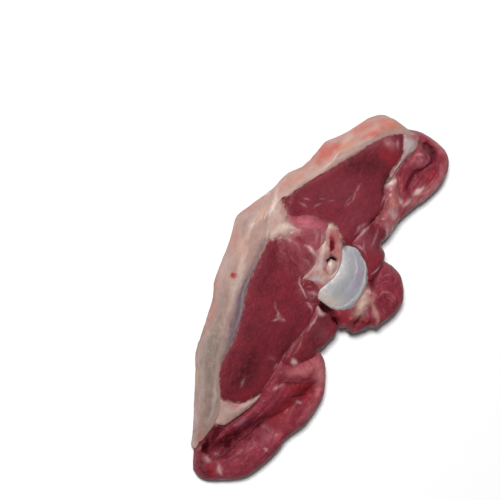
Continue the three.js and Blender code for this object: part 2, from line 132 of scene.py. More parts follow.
# The pieces, the uppermost in a seam first. An outline is a closed loop from one tip, and far is
# the number of its opposite tip. shoulder is the rounding of the outer upper edge, swell the rise
# of the middle over the seams, wrinkle the height of the drawn-out wrinkles, and a fold is
# (depth, width, path).
PIECES = [
    {
        "node": "hip_bone", "slot": "bone", "shoulder": 2, "swell": 1.1, "far": 12,
        "outline": [
            (-3.5, 4.5), (-3, 8.5), (-3, 12), (-4, 15.5), (-6, 18.5), (-9, 20), (-12.5, 21),
            (-16.5, 21), (-21, 19), (-25, 15.5), (-27, 11.5), (-28.5, 8), (-28, 4.5), (-25.5, 3),
            (-21.5, 4.5), (-17.5, 5.5), (-13, 5), (-9, 3.5), (-6, 3),
        ],
        "folds": [
            (0.7, 3.5, [(-27, 6), (-24, 9), (-17.5, 13), (-9, 12)]),
        ],
    },
    {
        "node": "joint_ligament", "slot": "ligament", "shoulder": 1, "swell": 1.3, "far": 3,
        "outline": [
            (-20, 0.5), (-19.5, 3), (-17, 4.5), (-14, 3.5), (-15, 1), (-17.5, 0),
        ],
    },
    {
        "node": "joint_fat", "slot": "inner_fat", "shoulder": 2, "swell": 0.8, "far": 9,
        "outline": [
            (-7, -6.5), (-9, -6), (-12, -5), (-15, -4.5), (-17.5, -5.5), (-19.5, -7.5),
            (-21.5, -6.5), (-24.5, -6), (-27.5, -7.5), (-31.5, -8.5), (-32, -6.5), (-31, -3.5),
            (-28.5, -0.5), (-26.5, 3.5), (-21, 6.5), (-15.5, 6.5), (-10, 5.5), (-6.5, 5),
            (-4, 5), (-4.5, 3.5), (-7, 3), (-8.5, 0), (-8, -4),
        ],
    },
    {
        "node": "fat_cap", "slot": "outer_fat", "shoulder": 3, "swell": 0.6, "far": 20,
        "outline": [
            (-80, 7), (-80.5, 2), (-80.5, -6), (-76, -10.5), (-69, -14.5), (-63.5, -18.5),
            (-60, -21.5), (-53.5, -23), (-46.5, -25), (-41, -29.5), (-32, -32.5), (-22.5, -36.5),
            (-15.5, -39), (-4.5, -36), (3.5, -35), (11, -33.5), (18, -30), (39, -25),
            (46.5, -20.5), (66, -9.5), (73, -6), (68, -6.5), (62, -6), (56.5, -6.5), (48, -12.5),
            (39, -18), (24.5, -19.5), (5.5, -25.5), (-7.5, -27.5), (-16, -28.5), (-21, -32),
            (-25, -32.5), (-28.5, -31.5), (-32, -30), (-36, -28.5), (-42.5, -25), (-48.5, -21),
            (-55.5, -17), (-61.5, -13.5), (-70.5, -7.5), (-76, -1.5),
        ],
    },
    {
        "node": "fat_seam", "slot": "inner_fat", "shoulder": 2, "swell": 0.7, "far": 4,
        "outline": [
            (-31, -31.5), (-28.5, -29.5), (-26.5, -26.5), (-24, -24.5), (-23.5, -19),
            (-21, -21.5), (-18, -20.5), (-18, -24), (-14.5, -26.5), (-16, -29.5), (-20.5, -33),
            (-24.5, -33.5), (-27.5, -33),
        ],
    },
    {
        "node": "fat_wedge_upper", "slot": "inner_fat", "shoulder": 2, "swell": 0.8, "far": 9,
        "outline": [
            (-77.5, 1.5), (-79.5, 4.5), (-79.5, 8.5), (-76, 10), (-72.5, 9), (-69.5, 8),
            (-66.5, 7), (-63.5, 6.5), (-60, 6.5), (-57.5, 6.5), (-60, 5), (-63, 5), (-66.5, 5.5),
            (-69.5, 5.5), (-73, 4),
        ],
    },
    {
        "node": "neck_muscle", "slot": "dark_lean", "shoulder": 5, "swell": 1, "far": 8,
        "outline": [
            (-29.5, 5), (-34, 5.5), (-38.5, 7), (-41.5, 9.5), (-41, 15), (-38.5, 18.5),
            (-35.5, 19), (-32.5, 23), (-29.5, 24), (-25.5, 22.5), (-21.5, 22), (-20, 20),
            (-22, 15), (-25, 9.5),
        ],
    },
    {
        "node": "eye_muscle_upper", "slot": "dark_lean", "shoulder": 4, "swell": 0.7, "far": 7,
        "outline": [
            (-27.5, -29.5), (-31.5, -31), (-36, -30), (-43.5, -26), (-59, -17), (-71, -8),
            (-76.5, -3.5), (-80, 1), (-76, 5), (-68.5, 6.5), (-61.5, 6), (-56.5, 6),
            (-52.5, 8.5), (-47, 10), (-42, 10), (-36.5, 8), (-31.5, 6), (-27, 6), (-28, -1.5),
            (-31.5, -10), (-30.5, -18), (-26.5, -24.5),
        ],
    },
    {
        "node": "core_muscle", "slot": "pink_lean", "shoulder": 3, "swell": 0.9, "far": 7,
        "outline": [
            (-26, -30), (-30, -22.5), (-32, -12.5), (-30.5, -7), (-25, -3), (-18, -0.5),
            (-10, 2), (-2.5, 6), (-0.5, 1.5), (-1, -3), (-3.5, -6.5), (-6.5, -8.5), (-8, -13),
            (-9.5, -17.5), (-12.5, -22), (-15, -24.5), (-21, -25.5),
        ],
    },
    {
        "node": "eye_muscle_lower", "slot": "dark_lean", "shoulder": 4, "swell": 0.7, "far": 11,
        "outline": [
            (-16.5, -30), (-17, -25.5), (-15.5, -22.5), (-11, -17.5), (-9, -9.5), (-4.5, -4),
            (-3, 4), (0.5, 6), (5.5, 6.5), (13, 6.5), (21.5, 4.5), (40, 4), (44.5, 2),
            (48.5, -1.5), (50, -6), (50.5, -10.5), (46.5, -15.5), (38.5, -19.5), (25.5, -20),
            (6.5, -25.5), (-6.5, -29),
        ],
    },
    {
        "node": "fat_wedge_lower", "slot": "inner_fat", "shoulder": 2, "swell": 0.8, "far": 4,
        "outline": [
            (41.5, 4.5), (44.5, 4.5), (49.5, 3), (55, 0.5), (59, -1.5), (60, -7), (51, -12.5),
            (49, -7.5), (47.5, -2), (44.5, 2),
        ],
    },
    {
        "node": "under_lobe", "slot": "dark_lean", "shoulder": 5, "swell": 1, "far": 5,
        "outline": [
            (-2.5, 5), (-1.5, 10), (-0.5, 15.5), (1.5, 19.5), (3.5, 21.5), (11.5, 20),
            (16, 17.5), (25, 9), (23, 2.5), (11.5, 3), (3.5, 3),
        ],
    },
    {
        "node": "side_lobe", "slot": "flap_lean", "shoulder": 6, "swell": 1, "far": 13,
        "wrinkle": 0.2,
        "outline": [
            (-27.5, 16.5), (-29, 20), (-29.5, 24), (-30, 26.5), (-30, 30.5), (-29, 34),
            (-26.5, 37), (-23.5, 39.5), (-19.5, 41.5), (-16.5, 41.5), (-13, 41), (-10, 39.5),
            (-7.5, 38), (-4.5, 37), (-4, 34), (-1.5, 31.5), (1, 29.5), (2, 27.5), (1, 24.5),
            (2.5, 23), (2.5, 20.5), (2, 18), (0.5, 13.5), (-1, 8.5), (-2.5, 4.5), (-6, 9),
            (-9, 14.5), (-14, 17.5), (-19, 18), (-24, 17),
        ],
        "folds": [
            (3, 1.6, [(-2.5, 5.5), (-2, 9.5), (-1.5, 14)]),
            (1.6, 1.6, [(-28.5, 21), (-21, 21.5), (-16.5, 25)]),
        ],
    },
    {
        "node": "membrane_strip", "slot": "membrane", "shoulder": 4, "swell": 0.8, "far": 6,
        "outline": [
            (-63, 6), (-59.5, 10.5), (-55.5, 14.5), (-51.5, 17.5), (-45, 20), (-39, 19.5),
            (-33.5, 17.5), (-38, 12.5), (-45.5, 9.5), (-53, 7.5), (-59, 6.5),
        ],
    },
    {
        "node": "flap_upper", "slot": "flap_lean", "shoulder": 6, "swell": 1.2, "far": 11,
        "wrinkle": 0.3,
        "outline": [
            (-80, 4), (-82.5, 13), (-82, 21.5), (-80.5, 26), (-78, 29), (-74.5, 30.5),
            (-70.5, 31), (-66, 30.5), (-60, 28), (-54.5, 25), (-48.5, 22), (-43, 20.5),
            (-49.5, 16.5), (-57, 11), (-61.5, 6.5), (-67.5, 6), (-75, 7.5),
        ],
        "folds": [
            (3, 1.9, [(-78, 15), (-77, 20), (-74, 22), (-69.5, 19), (-66, 17), (-61, 16.5)]),
            (1.5, 2, [(-79, 10.5), (-71, 9), (-66, 7.5)]),
        ],
    },
    {
        "node": "flap_lower", "slot": "flap_lean", "shoulder": 6, "swell": 1.2, "far": 15,
        "wrinkle": 0.2,
        "outline": [
            (22, 4.5), (17.5, 10), (14.5, 17.5), (16.5, 23.5), (22, 28.5), (28.5, 32),
            (36.5, 32.5), (43.5, 31.5), (51.5, 28), (57.5, 27), (63.5, 25.5), (69, 23),
            (74, 20.5), (79.5, 12.5), (82.5, 4.5), (81, 0.5), (75, -3), (69, -7), (60, -8),
            (48.5, -3), (39.5, 1), (31, 2.5),
        ],
        "folds": [
            (3, 5, [(71.5, -0.5), (65, 4.5), (58, 10), (51.5, 15.5)]),
            (2, 2.6, [(62, -1.5), (50.5, 2), (41.5, 4.5)]),
            (1.5, 3, [(52, 14), (41, 17.5), (33, 22.5), (29, 25)]),
            (1.3, 2.6, [(33, 10), (28.5, 18), (27.5, 24.5)]),
        ],
    },
]


def arc(x, y, wide, high, start, end, count=6):
    """Points round an arc of a level ellipse about (x, y). Its half width and half height are as
    the camera sees them, and its angles turn clockwise there from the right."""
    turn, roll = np.radians(np.linspace(start, end, count)), np.radians(CAMERA_ROLL)
    right, down = wide * np.cos(turn), high * np.sin(turn)
    slant = np.sin(np.radians(CAMERA_HEIGHT))
    return zip(x + right * np.cos(roll) + down * np.sin(roll),
               y + (right * np.sin(roll) - down * np.cos(roll)) / slant)


# What shows on each piece: (kind, width, strength, the points of its path). light and deep change
# the tone, the others are laid over the color, and a crease or ridge has its depth or height in
# place of a strength. dark marks are painted shade, in crevices, cavities, notches and under
# raised bits, and are cut in there as well. deep marks are partly darker tissue and partly painted
# shade in hollows and on the lower fat, and the broad grey on the lower fat is partly painted
# shade too. pale and light marks are paler tissue, and a few pale ones are painted highlights and
# glints.
# A mark's y is that of the cut face: on a side, each millimetre down moves it out by SIDE_SLANT.
MARKS = {}
MARKS["fat_cap"] = [
    # The broad grey band and the deep marks along the lower fat and at its tip are partly the
    # fat's own grey and partly painted shade, darker towards the lower end
    ("grey", 5.5, 0.95, (0, -35.5), (31.5, -26.5), (46.5, -20), (58.5, -12.5), (77, -5.5)),
    ("deep", 4, 0.45, (35.5, -25), (45, -21), (53.5, -15.5)),
    ("deep", 3, 0.4, (-24.5, -38), (-17, -39.5), (-9.5, -39.5)),
    ("deep", 2.4, 0.3, (9, -37), (19.5, -34.5), (29.5, -31)),
    ("deep", 2.6, 0.6, (-51.5, -26.5), (-57, -24.5), (-60.5, -22)),
    ("blush", 1.6, 0.4, (-46, -28), (-41.5, -30.5), (-36, -32)),
    ("blush", 2.4, 0.7, (-73, -11), (-77.5, -7.5), (-79.5, -3)),
    ("blush", 1.6, 0.35, (16.5, -35), (22, -33), (27.5, -31.5)),
    ("pale", 1.2, 0.35, (-62, -21), (-66.5, -19)),
    ("pale", 1, 0.2, (-74.5, -5.5), (-68.5, -11), (-60.5, -16), (-45, -25.5)),
    ("tint", 3, 1.5, (-8, -29), (-0.5, -27.5), (8, -25.5), (18, -22.5), (37.5, -18.5)),
    ("tint", 1.4, 0.7, (-13, -29.5), (-7, -29)),
    ("deep", 2.4, 0.5, (-0.5, -27.5), (8, -25.5), (18, -22.5), (37.5, -18.5)),
    ("blush", 0.6, 0.3, (-4.3, -27), (4.6, -24.5), (14.5, -22.2), (23.7, -20.4)),
    ("pale", 0.6, 0.22, (-7.9, -28.9), (-1.2, -27.6), (7.2, -26.1), (15.9, -23.1), (24.3, -20.8),
     (31.4, -20.1)),
    ("blush", 4, 0.45, (-40, -33.5), (-69.5, -16.5), (-79.5, -6.5)),
    ("blush", 2.8, 1.1, (-51.5, -26.5), (-57, -24.5), (-60.5, -22)),
    ("blush", 2.4, 0.9, (-68, -18.5), (-71.5, -16.5), (-74.5, -14.5)),
    ("blush", 1.8, 0.8, (-67, -15), (-71.5, -11.5), (-75.5, -8)),
    ("blush", 1.4, 0.8, (-77, -12.5), (-79.5, -8.5)),
    ("blush", 0.9, 0.6, (-26.5, -39), (-21.5, -42), (-16, -45)),
    ("blush", 1.1, 0.6, (-55, -26.5), (-49.5, -30), (-43, -33)),
    ("blush", 1.2, 0.5, (-42, -31.5), (-36, -34), (-28.5, -36.5)),
    ("blush", 0.8, 0.5, (-46.5, -27.5), (-52, -24), (-58.5, -19.5)),
    ("blush", 0.9, 0.8, (24, -35.5), (26, -33)),
    ("blush", 1.6, 0.4, (-13.5, -44.5), (-7.5, -40.5), (-2.5, -39.5)),
    ("blush", 2.2, 0.55, (1.5, -41.5), (12, -39), (23, -34.5), (34, -31)),
    ("sallow", 1.8, 0.7, (-59, -21), (-63, -19.5), (-67.5, -19.5)),
    ("sallow", 1.8, 0.6, (-79.5, -11), (-79.5, -1.5)),
    ("sallow", 1.4, 0.4, (-28.5, -39.5), (-21.5, -36), (-15, -35)),
    ("sallow", 1.4, 0.35, (-12.5, -38), (0.5, -36)),
    ("sallow", 2.2, 0.4, (41, -31), (52.5, -20.5)),
    ("sallow", 1.4, 0.5, (-36.5, -34.5), (-42.5, -30), (-49, -26)),
    ("pale", 1.3, 0.9, (-33, -35.5), (-26.5, -33.5), (-20.5, -31), (-14.5, -29)),
    ("pale", 1.2, 0.2, (-21.5, -38), (-8.5, -37)),
    ("pale", 1.8, 0.35, (-5.5, -33), (3, -31.5), (18, -27.5)),
    ("pale", 0.9, 0.15, (26, -25), (34.5, -22), (53.5, -12.5)),
    ("pale", 0.8, 0.12, (36.5, -27.5), (47.5, -22), (57.5, -14.5)),
    ("pale", 0.8, 0.3, (42, -19), (51.5, -13.5), (62, -10)),
    ("pale", 1, 0.15, (4.5, -44), (15.5, -40.5), (23.5, -37.5)),
    ("deep", 3.2, 1.4, (58, -14), (66.5, -11), (75.5, -6.5)),
    ("blush", 2, 0.3, (63.5, -12), (74, -7)),
    ("crease", 0.6, 0.4, (-29.1, -37.8), (-20, -34)),
    ("crease", 0.5, 0.25, (-22.7, -37.7), (-17.7, -36.6)),
    ("crease", 0.5, 0.2, (2.1, -39.3), (23.9, -31.5)),
    ("crease", 0.5, 0.2, (35.4, -25.2), (44.5, -20.4), (52.9, -14.5)),
    ("blood", 0.9, 2.2, (5, -33.5), (5, -33)),
]
MARKS["fat_seam"] = [
    ("sallow", 1.2, 0.35, (-29.5, -30.5), (-26.5, -27)),
    ("pale", 2.2, 1, (-17.5, -27.5), (-21, -24.5), (-22.5, -20)),
    ("pale", 1.4, 0.4, (-24.5, -30.5), (-22.5, -27.5)),
    ("blush", 1.2, 0.3, (-28.5, -31), (-27, -28.5)),
]
MARKS["eye_muscle_upper"] = [
    ("light", 1.8, 0.5, (-49, 7.5), (-45, 8), (-40.5, 7.5)),
    ("light", 1.2, 0.5, (-31.5, -23), (-32, -19), (-34, -15.5)),
    ("light", 0.8, 0.45, (-38, -16), (-39, -10.5), (-38.5, -5)),
    ("light", 1.4, 0.4, (-43, -4), (-47.5, -4), (-51.5, -2)),
    ("light", 0.7, 0.5, (-39.2, -4.4), (-43.6, -4.7), (-46.7, -4.1)),
    ("light", 1, 0.4, (-34, -9), (-34, -3.5), (-37, 0)),
    ("light", 1.2, 0.35, (-41.5, -23), (-46.5, -20.5), (-52, -17)),
    ("deep", 1, 0.4, (-40, -8), (-45, -7), (-49.5, -8)),
    ("deep", 1.4, 0.35, (-39, -18.5), (-43.5, -15.5), (-49, -14)),
    ("deep", 1, 0.4, (-41.5, 2), (-46.5, 4), (-51, 4.5)),
    ("grey", 1.6, 0.5, (-64.5, -10.5), (-70, -7)),
    ("grey", 7, 0.3, (-36.5, -20), (-42.5, -13.5), (-48.5, 3)),
    ("grey", 5, 0.3, (-34.5, -4.5), (-39, 0.5), (-45.5, 4)),
    ("grey", 2.6, 0.5, (-68.5, -10), (-72, -5), (-71.5, -0.5)),
    # Darker purple next to the raised edge of the fat: partly the muscle's own color, partly
    # painted shade
    ("deep", 5, 1, (-55.5, -12), (-60, -7.5), (-62, -0.5)),
    ("deep", 2.5, 0.4, (-32.5, -23.5), (-38, -18), (-47, -12.5)),
    ("deep", 2.2, 0.4, (-64.5, 3), (-55, 3)),
    ("deep", 2.6, 0.3, (-43.5, -21.5), (-57.5, -13)),
    ("light", 3.2, 0.3, (-37, -7), (-39, -1), (-42.5, 1.5)),
    ("light", 1.6, 0.25, (-40.5, -5.5), (-46.5, -5), (-51.5, -5.5)),
    ("light", 1.4, 0.25, (-41.5, 1.5), (-50, 1)),
    ("light", 1.4, 0.25, (-35.5, -8), (-36.5, -11), (-37, -15)),
    ("light", 2, 0.5, (-35, 0), (-31.5, -1), (-29, -2.5)),
    ("light", 2.4, 0.8, (-70.5, -4), (-71, -1)),
    ("pale", 1.6, 0.25, (-71.5, -4.5), (-71, -1.5)),
    ("light", 2.4, 0.3, (-68.5, -10), (-71.5, -6)),
    ("pale", 0.9, 0.35, (-71, -5), (-71, -2)),
    # Painted highlight: a short upright pale line on the pink bump
    ("pale", 0.6, 0.5, (-73.6, -0.4), (-71.3, 1.4)),
    ("blood", 2.2, 1, (-66.5, -3), (-66.5, -0.5), (-66, 1.5)),
    ("pale", 0.6, 0.7, (-68.4, 5.5), (-65.9, 6.1), (-64.2, 4.6), (-62.2, 4.3), (-60.5, 4.4),
     (-58.9, 4.9)),
    ("pale", 1, 1.1, (-60, 7.5), (-56, 5.5)),
    ("pale", 0.5, 0.5, (-55.9, 6.3), (-52.2, 7.2), (-48.3, 7.6)),
    # Painted shadow under the white stick of fat
    ("dark", 0.8, 0.9, (-54, 5), (-53.5, 8)),
    ("pale", 0.55, 0.8, (-40.8, 8), (-38.7, 7.1), (-36.9, 6.2), (-33, 5.9), (-30, 5.5)),
    ("pale", 0.8, 0.3, (-40, 6), (-36.5, 4.5), (-32.5, 3.5)),
    ("pale", 0.4, 0.3, (-42.4, -4.4), (-45.8, -5.1), (-50.2, -5.4)),
    ("pale", 0.35, 0.25, (-40.4, -5.7), (-43.2, -6.5), (-46.1, -6.3)),
    ("pale", 0.35, 0.3, (-33.1, -17.9), (-35.5, -16.8), (-37.2, -15.4)),
    ("pale", 0.5, 0.3, (-32.4, -24.5), (-33, -22.9), (-32.8, -20.2)),
    ("pale", 0.35, 0.3, (-35.1, -23.7), (-35.9, -21.2)),
    ("pale", 0.35, 0.25, (-37.7, -17.8), (-39.3, -15.7)),
    ("pale", 0.35, 0.25, (-39, -13.5), (-40.6, -11.4)),
    ("pale", 0.4, 0.3, (-47, -5.3), (-50.2, -5.4), (-51.7, -5.3)),
    ("pale", 0.35, 0.25, (-41.1, -5.1), (-43.6, -4.7)),
]
MARKS["core_muscle"] = [
    ("blush", 2.8, 0.85, (-24, -24.5), (-27, -17.5), (-28.5, -10)),
    ("blush", 1.4, 0.25, (-23, -14.5), (-21.5, -10.5), (-20.5, -6.5)),
    ("blood", 3, 0.85, (-13.5, -18), (-11.5, -13.5), (-9, -9.5)),
    ("blood", 2.6, 0.6, (-17, -11.5), (-15.5, -8.5), (-11.5, -8)),
    ("light", 1.5, 0.4, (-22.5, -10), (-21.5, -7.5)),
    ("pale", 0.8, 0.85, (-19.5, -13), (-19.5, -10.5), (-19, -8.5), (-18.5, -6)),
    ("pale", 1.6, 0.3, (-21.5, -22), (-22.5, -18.5)),
    ("blood", 1.6, 0.3, (-24.5, -19.5), (-25.5, -15)),
    ("pale", 0.6, 0.2, (-24.3, -20.4), (-25.6, -17.2), (-26.5, -13.7)),
    ("pale", 0.8, 0.2, (-27, -14), (-25, -10.5), (-22, -9)),
    ("pale", 0.7, 0.18, (-14.4, -11.1), (-13, -5.1)),
    ("blush", 1, 0.5, (-12, -12.5), (-8.5, -6.5)),
    ("pale", 0.4, 0.2, (-18.7, -18.9), (-17.8, -15.3), (-15.6, -12.4)),
    ("pale", 0.35, 0.1, (-13.7, -17.8), (-12, -14.1), (-10.9, -10.9)),
    ("pale", 0.5, 0.5, (-7.1, -7.9), (-4.8, -6.2), (-2.9, -3.3), (-1.5, -1)),
    ("pale", 0.8, 0.4, (-4, -1), (-5, 3)),
    ("pale", 0.6, 0.3, (-27.6, -9.8), (-25, -7.6), (-21.9, -6.6)),
    ("blood", 0.9, 1.1, (-20.5, -16.5), (-20, -14.5)),
    ("blood", 0.8, 0.7, (-25.5, -3.5), (-23.5, -1.5)),
    ("deep", 2.8, 0.85, (-15, -20), (-7.5, -8.5)),
    ("deep", 1.4, 0.6, (-21.5, -16.5), (-22, -12.5), (-23, -8.5)),
    ("deep", 1.4, 0.5, (-28, -9.5), (-26, -6.5), (-23, -5.5)),
    ("deep", 1.9, 1.9, (-5.5, -4.5), (-6.5, -2.5), (-7, 0)),
    ("blood", 1.9, 1.3, (-5.5, -4.5), (-6.5, -2.5), (-7, 0)),
    ("crease", 0.5, 0.5, *arc(-6.2, -2.5, 2.8, 2.1, 180, 350)),
    ("pale", 0.3, 0.25, (-5.2, -3.2), (-6.3, -2.3), (-6.4, -0.9)),
    ("deep", 2.2, 0.9, (-2, 0), (-2.5, 3), (-2, 5.5)),
    ("deep", 1.6, 0.5, (-15, -10.5), (-13, -7)),
]
MARKS["joint_fat"] = [
    ("pale", 1.3, 0.55, (-30.5, -9), (-31, -7.5)),
    ("tint", 0.45, 1, (-15.3, -0.6), (-14.1, 0.6)),
    ("pale", 0.9, 0.6, (-25, -5.5), (-21, -5), (-18, -4.5)),
    ("pale", 0.9, 0.25, (-18.5, -4.5), (-13.5, -4.5), (-9.5, -5)),
    ("blush", 1.8, 0.8, (-25.5, -0.5), (-24, 1.5), (-22.5, 3)),
    ("blush", 1, 0.8, (-30, -7), (-29, -4), (-27, -1)),
    ("blush", 0.6, 0.7, (-28.1, -8), (-25.3, -6.3)),
    ("blush", 0.6, 0.5, (-17.1, -2.6), (-14.9, 0.3), (-12.2, 0.5)),
    ("blush", 0.8, 0.8, (-16, 6), (-12, 4.5), (-8.5, 3.5), (-5.5, 3)),
    ("pale", 0.4, 0.6, (-17.3, 5.9), (-13.5, 4.8), (-10, 3.4)),
    ("blood", 1.7, 1.4, (-27.5, -4.5), (-25, -2.5), (-21.5, -1)),
    ("crease", 0.8, 1.2, (-26.5, -4), (-24.5, -2.5), (-22, -1.5)),
    # Painted shade: in the small cavity inside the arch, and in the gap along the ligament's edge
    ("dark", 1, 0.7, (-26, -3), (-23, -1.5)),
    ("dark", 0.95, 1.7, (-19, -0.5), (-20, 0), (-20.5, 1), (-20.5, 2)),
    ("grey", 1.2, 0.6, (-11, -3.5), (-15.5, -2.5), (-19, -4)),
    ("grey", 1.4, 0.6, (-8.5, -4), (-9.5, -1), (-11, 2)),
    ("blush", 0.6, 0.6, (-9, -5.6), (-11.6, -4.2), (-14.5, -4)),
    ("tint", 1.2, 0.5, (-21.5, -7.5), (-19.5, -7)),
    ("tint", 0.5, 0.7, (-27.1, -6.4), (-23.2, -4.9), (-20.5, -4.8)),
    ("tint", 0.45, 0.6, (-12.8, -4.5), (-16.3, -4.1), (-18.5, -5)),
    ("tint", 0.45, 0.7, (-8.7, -5.4), (-11.1, -3.4), (-13.7, -1.9)),
    ("tint", 0.5, 0.6, (-11.5, 0), (-13.7, 1.6), (-16.6, 1.8)),
    ("tint", 1.5, 1, (-29.5, -6), (-27, -3), (-23, -1.5)),
    ("blush", 1.4, 0.8, (-31, -6), (-29, -2.5), (-26.5, 0)),
    ("tint", 0.9, 0.6, (-31.5, -5.5), (-30, -2.5), (-27.5, 0.5)),
    ("tint", 0.8, 0.6, (-21.5, -3.5), (-19, -2.5), (-15.5, -2)),
    ("tint", 0.8, 0.6, (-7.5, -2.5), (-9, 0.5), (-8.5, 3)),
    ("tint", 0.9, 0.6, (-7.5, -5.5), (-10, -4.5), (-12.5, -4.5)),
    ("deep", 1.6, 0.5, (-8.5, -5.5), (-11, -3.5), (-15, -3)),
    ("tint", 0.5, 0.5, (-13.5, -2.3), (-10.7, -1.5)),
    ("blush", 0.6, 0.5, (-7.9, 1.2), (-9.4, 2.3)),
    ("blood", 0.6, 0.5, (-7.9, 0.2), (-8.3, 2)),
    ("tint", 0.8, 0.6, (-3.5, 3), (-2.5, 5)),
]
MARKS["joint_ligament"] = [
    ("blush", 0.35, 0.8, (-17.4, -0.2), (-14.7, 1.7), (-14, 4)),
    ("pale", 0.8, 0.25, (-17.5, 1), (-15.5, 3)),
    ("blush", 0.4, 0.6, (-19.4, 3.6), (-16.9, 5.2)),
]
MARKS["hip_bone"] = [
    ("pale", 0.8, 0.95, (-28, 5), (-28.5, 8), (-27, 11.5), (-24.5, 15), (-20.5, 17.5), (-16.5, 19),
     (-12, 19), (-8.5, 17.5), (-5.5, 15.5), (-4, 12.5), (-3.5, 9)),
    ("tint", 1.6, 0.9, (-26.5, 8.5), (-24, 11.5), (-20.5, 14), (-16, 15.5), (-12, 15), (-8.5, 13)),
    ("tint", 1, 0.5, (-22.5, 8), (-19, 11.5), (-15, 12.5)),
    ("blush", 0.4, 0.7, (-25.1, 11.9), (-22.8, 14.5), (-19.3, 16.7), (-16, 17.5)),
    ("blush", 0.5, 0.4, (-11.3, 17.4), (-8.2, 15.8), (-6.3, 13.5)),
    ("pale", 0.5, 0.5, (-26.7, 7.1), (-24.6, 10), (-21.2, 12.4), (-17.2, 13.6)),
    ("sallow", 2.8, 0.9, (-4.5, 5), (-5.5, 12)),
    ("pale", 3.2, 0.55, (-23, 5.5), (-18.5, 7), (-13, 7)),
    ("pale", 1.8, 0.35, (-8.5, 7), (-5.5, 6)),
    ("grey", 1.8, 0.5, (-10, 8), (-8, 11.5)),
    ("blush", 0.6, 0.5, (-24.7, 3.3), (-27.1, 4.3)),
    ("blush", 1.1, 0.6, (-5, 4.5), (-4, 6.5)),
    ("blush", 0.5, 0.4, (-14.2, 6.9), (-9.5, 5.8), (-6, 4.5)),
]
MARKS["neck_muscle"] = [
    ("pale", 0.6, 0.45, (-40.5, 8.2), (-37.3, 7), (-30.6, 5.6)),
    ("light", 0.8, 0.4, (-37, 16.5), (-34, 19), (-30.5, 21)),
    ("grey", 4, 0.7, (-33, 6.5), (-32, 11.5), (-30.5, 16.5)),
    ("light", 2.4, 0.4, (-31.5, 5.5), (-31.5, 9.5), (-30, 13.5)),
    ("deep", 2.5, 0.6, (-38, 10.5), (-32, 12), (-29, 16.5)),
    ("deep", 1.2, 0.5, (-37.5, 14), (-33.5, 15), (-31, 17)),
    ("pale", 0.5, 0.3, (-41.1, 11.7), (-30.8, 13.1)),
    ("light", 1.4, 0.4, (-39.5, 15.5), (-30.5, 18.5)),
    ("pale", 0.5, 0.5, (-29.4, 5.9), (-29.7, 8.3), (-28.9, 11.3)),
    ("pale", 0.5, 0.3, (-33.1, 8.6), (-30.1, 10), (-27.9, 12.9)),
    ("blood", 2.6, 0.6, (-29, 13.5), (-28.5, 17.5), (-28.5, 21)),
    ("pale", 0.45, 0.6, (-27.9, 20.8), (-24.8, 20.3), (-22.3, 19.3)),
]
